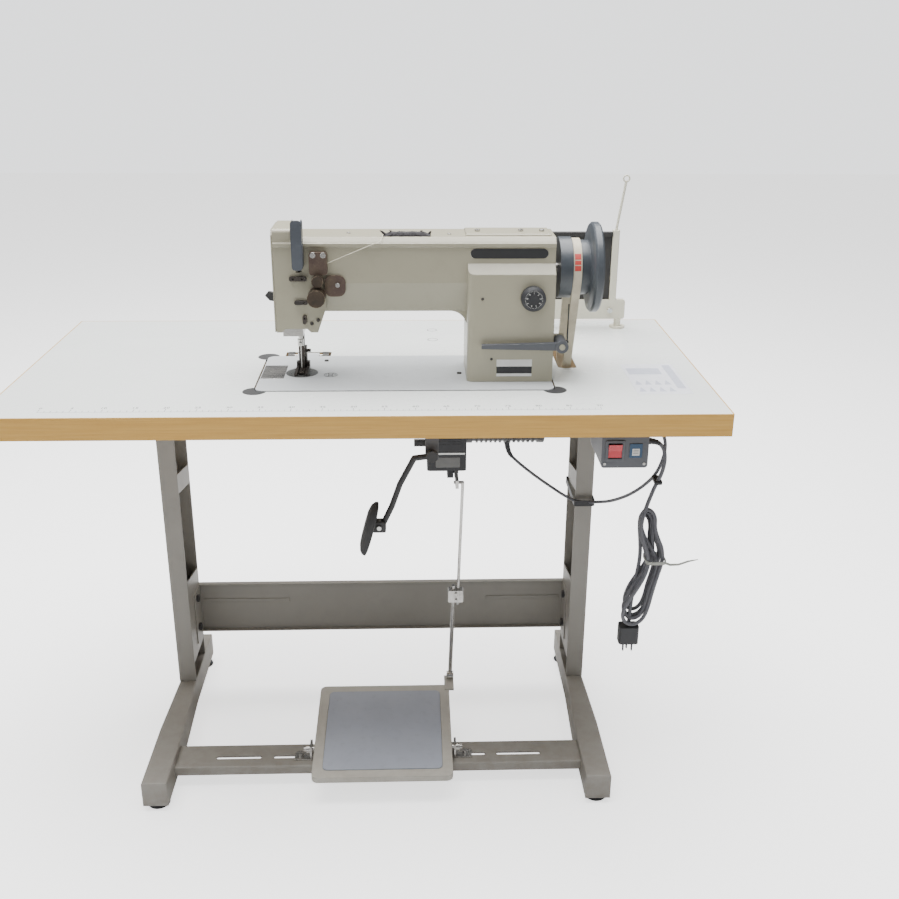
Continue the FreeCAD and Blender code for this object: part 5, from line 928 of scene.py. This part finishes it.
def screws(name, body, slot, material, spots, seed):
    """Screw heads on a body, each spot a place in millimetres, a facing and a radius."""
    seed_mesh = mesh_piece(name + "_points", [Vector(place) * MM for place, _, _ in spots], [])
    for label, kind, values in (("facing", "FLOAT_VECTOR", [way for _, way, _ in spots]),
                                ("width", "FLOAT", [radius * MM for _, _, radius in spots])):
        attribute = seed_mesh.data.attributes.new(label, kind, "POINT")
        for row, value in zip(attribute.data, values):
            if kind == "FLOAT":
                row.value = value
            else:
                row.vector = value
    piece = grow(name, "screws_on_points", material, start=seed_mesh, Head=screw_head, Seed=seed)
    keep(piece, body)
    return piece


# %% Screws on the head and on the stand
UP, TO_FRONT, TO_LEFT = (0, 0, 1), (0, -1, 0), (-1, 0, 0)
ARM_TOP, HEAD_MIDDLE, PLATE_FACE = 1012.0, -66.0, -148.8
COVER_TOP = ARM_TOP + 4.2
blackened = finish("blackened_screw", (0.05, 0.05, 0.05), (0.16, 0.14, 0.12), 0.35, metallic=0.8, scale=60.0)
screws("head_screws", "head", "bright_steel", FINISHES["bright_steel"], [
    ((308, HEAD_MIDDLE, COVER_TOP), UP, 4.6), ((272, HEAD_MIDDLE, COVER_TOP), UP, 4.6),
    ((198, HEAD_MIDDLE, COVER_TOP), UP, 4.6), ((150, -80, ARM_TOP), UP, 3.6), ((-20, -70, ARM_TOP), UP, 3.6),
    ((PLATE_FACE, HEAD_MIDDLE, 873), TO_LEFT, 5.6), ((PLATE_FACE, HEAD_MIDDLE, 992), TO_LEFT, 5.6),
    ((-77, -127.6, 986), TO_FRONT, 4.8), ((-60, -127.6, 986), TO_FRONT, 4.8),
    ((-38, -118.8, 934), TO_FRONT, 3.9)], seed=3)
screws("small_dark_screws", "head", "dark_nut", blackened, [
    ((-84, -114.3, 867), TO_FRONT, 3.2), ((-73, -114.3, 873), TO_FRONT, 3.2),
    ((-71, 2, 766), UP, 4.0), ((169, -78, 766), UP, 4.4), ((-96, -86, 766.3), UP, 2.6),
    ((-122, -50, 766.3), UP, 2.6), ((205, -COLUMN_FACE, 912), TO_FRONT, 2.4),
    ((222, -COLUMN_FACE, 807), TO_FRONT, 2.4)], seed=8)
screws("stand_screws", "stand", "bright_steel", zinc, [
    ((489, 229.2, 802), TO_FRONT, 5.4), ((100, -207, 719), TO_FRONT, 3.0),
    ((400, -278.0, 672), TO_FRONT, 2.4), ((465, -278.0, 672), TO_FRONT, 2.4)], seed=5)
bpy.data.objects.remove(screw_head)
print("pieces so far:", len(made))

# %% [markdown]
# ### The ruler and the table's marks
# A ruler is printed along the front of the table. Its ticks are rows of thin bars: one bar for each
# centimetre, and a second behind every fifth, which makes that tick longer. Numbers are text, made a
# mesh and laid flat.

# %% Ruler
TABLE_FACE = TABLE_TOP / MM
RULER_LEFT, RULER_FRONT, RULER_LENGTH = -509.0, -272.0, 900.0
TICK_STEP, NUMBER_STEP, NUMBER_HEIGHT = 10, 50, 11.0
INK_THICK, INK_SUNK, INK_BEVEL = 0.10, 0.02, 0.02


def bars(name, start, step, count, size, material):
    """A row of bars, with sizes in millimetres."""
    return grow(name, "row_of_bars", material, Start=Vector(start) * MM, Step=Vector(step) * MM,
                Count=count, Bar=Vector(size) * MM)


def flat_text(words, place, height, material, plane="top", turn=0.0):
    """Text as a thin mesh, its middle at a place in millimetres."""
    curve = bpy.data.curves.new("text", "FONT")
    curve.body, curve.size, curve.align_x, curve.align_y = words, height * MM, "CENTER", "CENTER"
    curve.extrude = INK_THICK * MM / 2
    curve.resolution_u = 2
    writer = bpy.data.objects.new("text", curve)
    bpy.context.scene.collection.objects.link(writer)
    bpy.context.view_layer.update()
    mesh = bpy.data.meshes.new_from_object(writer.evaluated_get(bpy.context.evaluated_depsgraph_get()))
    bpy.data.objects.remove(writer)
    stand_up = Matrix.Rotation(math.radians(90), 4, "X") if plane == "front" else Matrix.Identity(4)
    mesh.transform(Matrix.Translation(Vector(place) * MM) @ stand_up @ Matrix.Rotation(turn, 4, "Z"))
    mesh.materials.clear()
    mesh.materials.append(material)
    piece = bpy.data.objects.new("text", mesh)
    bpy.context.scene.collection.objects.link(piece)
    return piece


level = TABLE_FACE + INK_THICK / 2 - INK_SUNK
tick_count = int(RULER_LENGTH / TICK_STEP) + 1
number_count = int(RULER_LENGTH / NUMBER_STEP) + 1
ticks = [bars("ticks", (RULER_LEFT, RULER_FRONT + 3.5, level), (TICK_STEP, 0, 0), tick_count,
              (0.9, 7, INK_THICK), pale_ink),
         bars("long_ticks", (RULER_LEFT, RULER_FRONT + 9.5, level), (NUMBER_STEP, 0, 0), number_count,
              (1.0, 5, INK_THICK), grey_ink)]
edge_line = rounded((RULER_LEFT, RULER_FRONT - 0.8), (RULER_LEFT + RULER_LENGTH, RULER_FRONT), 0.1)
ticks.append(plate("edge_line", edge_line, TABLE_FACE - INK_SUNK, INK_THICK, "top", pale_ink, INK_BEVEL))
for k in range(number_count):
    spot = (RULER_LEFT + NUMBER_STEP * k, RULER_FRONT + 19, level)
    ticks.append(flat_text(str(5 * k), spot, NUMBER_HEIGHT, grey_ink))
keep(joined("table_ruler", ticks), "stand")

# %% [markdown]
# ### The sticker and the cover rings
# The sticker on the table shows rows of small pictures. A generic one keeps its layout: a frame, two
# shaded panels and a grid of plain signs. Two cable covers leave a thin ring each in the laminate.

# %% Sticker
STICKER_LOW, STICKER_HIGH = (465.0, -197.0), (560.0, -24.0)
sheet_white = paint("sticker_white", (0.74, 0.75, 0.80))
sheet_shade = paint("sticker_shade", (0.50, 0.52, 0.60))
x0, y0 = STICKER_LOW
x1, y1 = STICKER_HIGH
sticker = [plate("sheet", rounded(STICKER_LOW, STICKER_HIGH, 5.0), TABLE_FACE - INK_SUNK, 0.14, "top",
                 sheet_white, 0.03),
           plate("panel", rounded((x0 + 6, y1 - 62), (x1 - 30, y1 - 26), 1.0), TABLE_FACE + 0.1, 0.06, "top",
                 sheet_shade, 0.02),
           plate("side", rounded((x1 - 20, y0 + 30), (x1 - 6, y1 - 8), 1.0), TABLE_FACE + 0.1, 0.06, "top",
                 sheet_shade, 0.02)]
SIGN_ROWS, SIGN_COLUMNS, SIGN = 2, 4, 12.0
for row in range(SIGN_ROWS):
    for column in range(SIGN_COLUMNS):
        left, front = x0 + 6 + 17 * column, y0 + 14 + 38 * row
        sticker.append(plate("sign", [(left, front), (left + SIGN, front), (left + SIGN / 2, front + 24)],
                             TABLE_FACE + 0.1, 0.06, "top", sheet_shade, 0.02))
keep(joined("table_sticker", sticker), "stand")


def ring_piece(name, middle, radius, thick, material):
    """A flat-lying ring of round section, in millimetres."""
    around, tube = 40, 8
    vertices, faces = [], []
    for k in range(around):
        a = 2 * math.pi * k / around
        for j in range(tube):
            b = 2 * math.pi * j / tube
            reach = radius + thick * math.cos(b)
            place = (middle[0] + reach * math.cos(a), middle[1] + reach * math.sin(a),
                     middle[2] + 0.5 * thick * math.sin(b))
            vertices.append(Vector(place) * MM)
            faces.append([k * tube + j, ((k + 1) % around) * tube + j,
                          ((k + 1) % around) * tube + (j + 1) % tube, k * tube + (j + 1) % tube])
    piece = mesh_piece(name, vertices, faces, material)
    outward(piece)
    return piece


rings = [ring_piece("ring", (126.4, y, TABLE_FACE), 9.5, 0.7, grey_ink) for y in (220, 148)]
keep(joined("cable_cover_rings", rings), "stand")
bed_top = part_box("bed_plate")[1].z / MM
plug_middle = (-57.6, -84.7, bed_top)
plug_rings = [ring_piece("ring", plug_middle, radius, 0.5, grey_ink) for radius in (11.5, 4.0)]
plug_rings.append(grow("studs", "ring_of_bars", grey_ink, Radius=7.6 * MM, Count=6,
                       Bar=Vector((2.4, 1.6, 0.5)) * MM, Middle=Vector(plug_middle) * MM, Turn=(0, 0, 0)))
keep(joined("bed_plug_rings", plug_rings), "head")
print("pieces so far:", len(made))

# %% [markdown]
# ### The stitch dial
# The dial's face carries a ring of ticks and the numbers 1 to 9, printed in white. The ring lies in
# the tree's own level plane and is stood up to face the front.

# %% Dial face
DIAL_TICKS, DIAL_NUMBERS, TICK_RADIUS, NUMBER_RADIUS = 36, 9, 14.6, 11.2
dial_front = -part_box("stitch_dial")[0].y / MM
dial_middle = Vector((290.0, -(dial_front - 2.0) - 0.05, 914.0))
face_turn = (math.radians(90), 0.0, 0.0)
dial_face = [grow("ticks", "ring_of_bars", white_ink, Radius=TICK_RADIUS * MM, Count=DIAL_TICKS,
                  Bar=Vector((1.6, 0.5, 0.3)) * MM, Middle=dial_middle * MM, Turn=face_turn)]
for k in range(DIAL_NUMBERS):
    angle = 2 * math.pi * k / DIAL_NUMBERS
    spot = dial_middle + NUMBER_RADIUS * Vector((math.sin(angle), 0, math.cos(angle)))
    dial_face.append(flat_text(str(k + 1), spot, 5.0, white_ink, "front", -angle))
keep(joined("dial_face", dial_face), "dial")

# %% [markdown]
# ### Soft and bound things
# The felt pad on the arm is torn at its edges and held by pins, and the knee pad is a crowned oval of
# rubber. Ties, straps and strain reliefs are bands and tapered tubes. A tube here is a row of rings
# round a path, and every tube is closed at both ends.

# %% Tubes and bands
TUBE_SIDES, SLEEVE_STEPS, GROOVE_DEPTH = 14, 8, 0.5


def tube(name, path, radii, material, squash=1.0):
    """A closed tube through places in millimetres, with a radius at each."""
    points = [Vector(p) for p in path]
    vertices, faces = [], []
    for k, point in enumerate(points):
        ahead = (points[min(k + 1, len(points) - 1)] - points[max(k - 1, 0)]).normalized()
        side = ahead.cross(AXIS["y"] if abs(ahead.y) < 0.9 else AXIS["z"]).normalized()
        up = ahead.cross(side)
        for j in range(TUBE_SIDES):
            angle = 2 * math.pi * j / TUBE_SIDES
            away = side * math.cos(angle) + up * squash * math.sin(angle)
            vertices.append((point + radii[k] * away) * MM)
    for k in range(len(points) - 1):
        for j in range(TUBE_SIDES):
            i = (j + 1) % TUBE_SIDES
            a, b = k * TUBE_SIDES, (k + 1) * TUBE_SIDES
            faces.append([a + j, a + i, b + i, b + j])
    last = (len(points) - 1) * TUBE_SIDES
    faces += [list(range(TUBE_SIDES))[::-1], [last + j for j in range(TUBE_SIDES)]]
    piece = mesh_piece(name, vertices, faces, material)
    outward(piece)
    return piece


def band(name, loop, low, high, thick, material):
    """An upright band of a thickness round a loop, between two heights in millimetres."""
    count = len(loop)
    rings = [(loop, low), (loop, high), (grown(loop, thick), high), (grown(loop, thick), low)]
    vertices = [Vector((x, y, z)) * MM for ring, z in rings for x, y in ring]
    faces = [[r * count + k, r * count + (k + 1) % count, (r + 1) % 4 * count + (k + 1) % count,
              (r + 1) % 4 * count + k] for r in range(4) for k in range(count)]
    piece = mesh_piece(name, vertices, faces, material)
    outward(piece)
    return piece


def start_of(route, share):
    """The first stretch of a NURBS cord of order three, up to a share of it, in a few places."""
    first, second, third = (Vector(p) for p in route[:3])
    end = (second + third) / 2
    places = []
    for step in range(SLEEVE_STEPS + 1):
        t = share * step / SLEEVE_STEPS
        places.append((1 - t) ** 2 * first + 2 * t * (1 - t) * second + t * t * end)
    return places


def relief(name, route, share, thick, thin):
    """A ribbed, tapered sleeve on a cord's first stretch."""
    radii = []
    for k in range(SLEEVE_STEPS + 1):
        groove = GROOVE_DEPTH if k % 2 else 0.0
        radii.append(thick + (thin - thick) * k / SLEEVE_STEPS - groove)
    return tube(name, start_of(route, share), radii, FINISHES["black_plastic"])


# %% Ties, strap and strain reliefs
pale_tie = paint("pale_tie", (0.36, 0.37, 0.33), 0.4)
dark_tie = FINISHES["black_plastic"]
TIE_TAIL = [(530, -214, 456), (540, -217, 453), (555, -218, 454), (572, -216, 459), (590, -213, 461)]
reliefs = joined("strain_reliefs", [
    relief("lead_sleeve", LEAD_ROUTE, 0.85, 5.6, 3.7), relief("mains_sleeve", MAINS_ROUTE, 0.95, 6.4, 4.2),
    relief("motor_sleeve", LEAD_ROUTE[::-1], 1.0, 5.6, 3.8)])
keep(reliefs, "stand")

bindings = [band("leg_strap", rounded((402.5, 17.5), (442.5, 139.5), 5.0), 462, 474, 1.6, dark_tie),
            plate("cord_clip", rounded((502.0, -214.5), (515.5, -181.5), 5.0), 606, 5.5, "top",
                  dark_tie, 1.0),
            band("waist_tie", rounded((499.0, -217.0), (533.0, -178.0), 8.0), 453, 459, 1.4, pale_tie),
            tube("tie_tail", TIE_TAIL, [2.4, 2.4, 2.2, 2.0, 0.8], pale_tie, squash=0.4)]
keep(joined("cord_ties", bindings), "stand")

# %% [markdown]
# ### Felt pad
# Felt has no outline of its own: it is torn. The slab's rim wanders by a few sines of different
# pitch, and its top swells and sinks the same way. Two pins hold it, and a tuft stands at each end.

# %% Felt pad
pad_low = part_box("thread_pad")[0] / MM
FELT_ROWS, FELT_COLUMNS = 10, 44
FELT_LENGTH, FELT_DEPTH, FELT_THICK = 78, 17.0, 6.4
TEAR_ENDS, TEAR_SIDES, SWELL = 1.8, 1.6, 0.8
SINES = ((0.45, 5.1, 1), (0.32, 13.7, 2.3), (0.23, 31, 4))


def ragged(u, phase):
    """A wandering value between about -1 and 1."""
    return sum(share * math.sin(pitch * u + shift * phase) for share, pitch, shift in SINES)


def felt_slab():
    """The torn slab: a grid of places for its top, the same for its underside, and a rim."""
    vertices, faces = [], []
    for level in (0, 1):
        for row in range(FELT_ROWS + 1):
            for column in range(FELT_COLUMNS + 1):
                u, v = column / FELT_COLUMNS, row / FELT_ROWS
                x = pad_low.x + 2.5 + FELT_LENGTH * u + TEAR_ENDS * ragged(6 * v, 1.0) * (2 * u - 1)
                y = pad_low.y + 2.0 + FELT_DEPTH * v + TEAR_SIDES * ragged(6 * u, 2.0 + level) * (2 * v - 1)
                crown = min(1.0, 4 * min(u, 1 - u) + 0.35) * min(1.0, 4 * min(v, 1 - v) + 0.35)
                top = FELT_THICK * crown + SWELL * ragged(5 * u + 2 * v, 3.0)
                z = pad_low.z + (top if level else 0.05)
                vertices.append(Vector((x, y, z)) * MM)
    wide = FELT_COLUMNS + 1
    size = wide * (FELT_ROWS + 1)
    for row in range(FELT_ROWS):
        for column in range(FELT_COLUMNS):
            a = row * wide + column
            for offset in (0, size):
                faces.append([offset + a, offset + a + 1, offset + a + wide + 1, offset + a + wide])
    rim = (list(range(wide)) + [r * wide + wide - 1 for r in range(1, FELT_ROWS + 1)]
           + [FELT_ROWS * wide + k for k in range(wide - 2, -1, -1)]
           + [r * wide for r in range(FELT_ROWS - 1, 0, -1)])
    faces += [[a, b, size + b, size + a] for a, b in zip(rim, rim[1:] + rim[:1])]
    piece = mesh_piece("felt", vertices, faces, felt)
    outward(piece)
    return piece


felt = finish("oiled_felt", (0.035, 0.033, 0.036), (0.085, 0.078, 0.080), 0.92, grain=1500, press=0.6,
              scale=60.0)
left, front, base = pad_low.x, pad_low.y, pad_low.z
felt_parts = [felt_slab()]
for x, y, lean, rise in ((left + 5, front + 6, -5.0, 9.5), (left + 79, front + 12, 2.0, 7.5)):
    path = [(x, y, base + 3), (x + lean, y, base + 0.8 * rise), (x + 1.7 * lean, y, base + rise)]
    felt_parts.append(tube("tuft", path, [2.6, 1.7, 0.5], felt, squash=0.5))
for x, y in ((left + 14, front + 11), (left + 66, front + 9)):
    path = [(x, y, base + rise) for rise in (2, 8.0, 8.4, 9.2)]
    felt_parts.append(tube("pin", path, [1.1, 1.1, 2.4, 1.6], oiled_steel))
felt_pad = joined("felt_thread_pad", felt_parts)
keep(felt_pad, "head", ["thread_pad"])

# %% [markdown]
# ### Knee pad
# Seen from the seat it's a leaning dark oval. Its face is crowned: rings of an oval shrink towards the
# middle while they rise, as on a dome that has been pressed flat.

# %% Knee pad
knee_low, knee_high = (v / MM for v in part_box("knee_pad"))
OVAL_SIDES, OVAL_LEVELS, OVAL_TIP = 40, 8, 0.04
OVAL_MIDDLE = Vector((14.0, (knee_low.y + knee_high.y) / 2, (knee_low.z + knee_high.z) / 2))
OVAL_WIDE, OVAL_TALL, OVAL_LEAN = (knee_high.y - knee_low.y) / 2 - 0.5, 49.0, math.radians(15.0)
FACE_CROWN, BACK_CROWN = 13.0, 4.0


def squarer(value):
    """A sine or cosine bent so that its circle becomes a little squarer."""
    return math.copysign(abs(value) ** 0.8, value)


def oval_pad():
    """The pad plate with its crowned faces, leaning about the machine's Y axis."""
    vertices, faces = [], []
    across = Vector((math.cos(OVAL_LEAN), 0, -math.sin(OVAL_LEAN)))
    along = Vector((math.sin(OVAL_LEAN), 0, math.cos(OVAL_LEAN)))
    for level in range(OVAL_LEVELS + 1):
        angle = math.pi * (level / OVAL_LEVELS - 0.5)
        size = max(OVAL_TIP, math.cos(angle) ** 0.45) if abs(angle) < 1.5 else OVAL_TIP
        crown = FACE_CROWN if angle < 0 else BACK_CROWN
        for k in range(OVAL_SIDES):
            turn = 2 * math.pi * k / OVAL_SIDES
            y = OVAL_WIDE * size * squarer(math.cos(turn))
            z = OVAL_TALL * size * squarer(math.sin(turn))
            out = across * crown * math.sin(angle)
            vertices.append((OVAL_MIDDLE + along * z + AXIS["y"] * y + out) * MM)
    for level in range(OVAL_LEVELS):
        for k in range(OVAL_SIDES):
            j = (k + 1) % OVAL_SIDES
            a, b = level * OVAL_SIDES, (level + 1) * OVAL_SIDES
            faces.append([a + k, a + j, b + j, b + k])
    last = OVAL_LEVELS * OVAL_SIDES
    faces += [list(range(OVAL_SIDES))[::-1], [last + k for k in range(OVAL_SIDES)]]
    piece = mesh_piece("oval", vertices, faces, FINISHES["rubber"])
    outward(piece)
    return piece


CLAMP_FRONT, CLAMP_REAR = -248.0, -230.0
clamp = plate("clamp", rounded((17.0, 536.0), (39.5, 555.5), 3.0), -CLAMP_REAR, CLAMP_REAR - CLAMP_FRONT,
              "front", FINISHES["black_steel"], 1.2)
clamp_screw = tube("clamp_screw", [(28, -248.5, 546), (28, -252.0, 546)], [4.2, 4.0], zinc)
knee_parts = joined("knee_pad_oval", [oval_pad(), clamp, clamp_screw])
keep(knee_parts, body_of(nodes["knee_pad"])[0], ["knee_pad"])

# %% [markdown]
# ### Print on the belt, and marks on the boxes
# The belt's print is three plain blocks of red ink, which follow the curve where the belt goes over
# the wheel. The control box has cooling slots, whose dark insides are painted shade: black bars on its
# face. It also has a strip of bright trim and a blank rating plate.

# %% Marks
BELT_LEFT, BELT_RIGHT, BELT_RADIUS = 360.6, 371.4, 49.9
SHAFT_HEIGHT, BLOCK_STEPS, BLOCK_ANGLES = 953.0, 10, ((4, 14), (16, 24), (26, 38))
red_ink = paint("red_ink", (0.50, 0.055, 0.045))


def belt_block(low, high):
    """A strip of ink round the front of the belt, between two angles from level."""
    vertices, faces = [], []
    for k in range(BLOCK_STEPS + 1):
        angle = math.radians(low + (high - low) * k / BLOCK_STEPS)
        for reach in (BELT_RADIUS, BELT_RADIUS + 0.25):
            y, z = HEAD_MIDDLE - reach * math.cos(angle), SHAFT_HEIGHT + reach * math.sin(angle)
            vertices += [Vector((x, y, z)) * MM for x in (BELT_LEFT, BELT_RIGHT)]
    for k in range(BLOCK_STEPS):
        a, b = 4 * k, 4 * k + 4
        faces += [[a, a + 1, b + 1, b], [a + 2, b + 2, b + 3, a + 3],
                  [a, b, b + 2, a + 2], [a + 1, a + 3, b + 3, b + 1]]
    last = 4 * BLOCK_STEPS
    faces += [[0, 2, 3, 1], [last, last + 1, last + 3, last + 2]]
    piece = mesh_piece("block", vertices, faces, red_ink)
    outward(piece)
    return piece


belt_print = joined("belt_print", [belt_block(low, high) for low, high in BLOCK_ANGLES])
keep(belt_print, body_of(nodes["v_belt"])[0])

box_low, box_high = (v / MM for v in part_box("control_box"))
box_face = -box_low.y - 0.1
# Painted shade: each cooling slot is a thin black bar on the face, standing for the dark inside of the slot.
box_marks = [bars("vents", (box_low.x + 14, -box_face - 0.2, box_high.z - 56 - 5 * row), (9, 0, 0), 6,
                  (6.5, 0.3, 1.6), black_ink) for row in range(3)]
rating = rounded((box_low.x + 16, box_high.z - 112), (box_high.x - 12, box_high.z - 92), 2.0)
trim = rounded((box_low.x + 12, box_high.z - 86), (box_high.x - 3, box_high.z - 82.5), 1.0)
box_marks += [plate("rating", rating, box_face, 0.5, "front", grey_ink),
              plate("trim", trim, box_face, 1.2, "front", zinc, 0.5)]
keep(joined("control_marks", box_marks), "stand")
print("pieces so far:", len(made))

# %% [markdown]
# ### The thread
# One pale thread leaves the pad, bends over the arm's edge and runs taut down to the first tension.
# It bends in a small round, as all thread does, so it too is a NURBS curve.

# %% Top thread
THREAD_DIAMETER = 0.9 * MM
THREAD_ROUTE = [(39, -104, 1016), (36, -117.5, 1008), (31, -117.6, 1006), (-54, -119.5, 971)]
top_thread = cord("top_thread_line", THREAD_ROUTE, THREAD_DIAMETER)
top_thread.data.materials.append(FINISHES["thread"])
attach(top_thread, "head")
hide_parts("top_thread")
print("the thread is", round(curve_length(top_thread), 4), "m long")

# %% [markdown]
# ## Finish
# The cords get their sheath and go on the stand, and the lesson ends by printing the finished machine's box.
# What was added must not make the machine larger.

# %% Sizes and the end
for piece, exit_point, length, diameter, far_end, extras, solids in (
        (motor_lead, LEAD_ROUTE[0], 0.60, LEAD_DIAMETER, "object", [], ["motor_lead"]),
        (mains_cord, MAINS_ROUTE[0], curve_length(mains_cord), CORD_DIAMETER, "plug", [nodes["plug"]],
         ["mains_cord", "cord_hank"])):
    piece.data.materials.append(FINISHES["cable_jacket"])
    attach(piece, "stand")
    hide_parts(*solids)

low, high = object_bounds()
print("the machine's box:", [round(v, 3) for v in (*low, *high)])
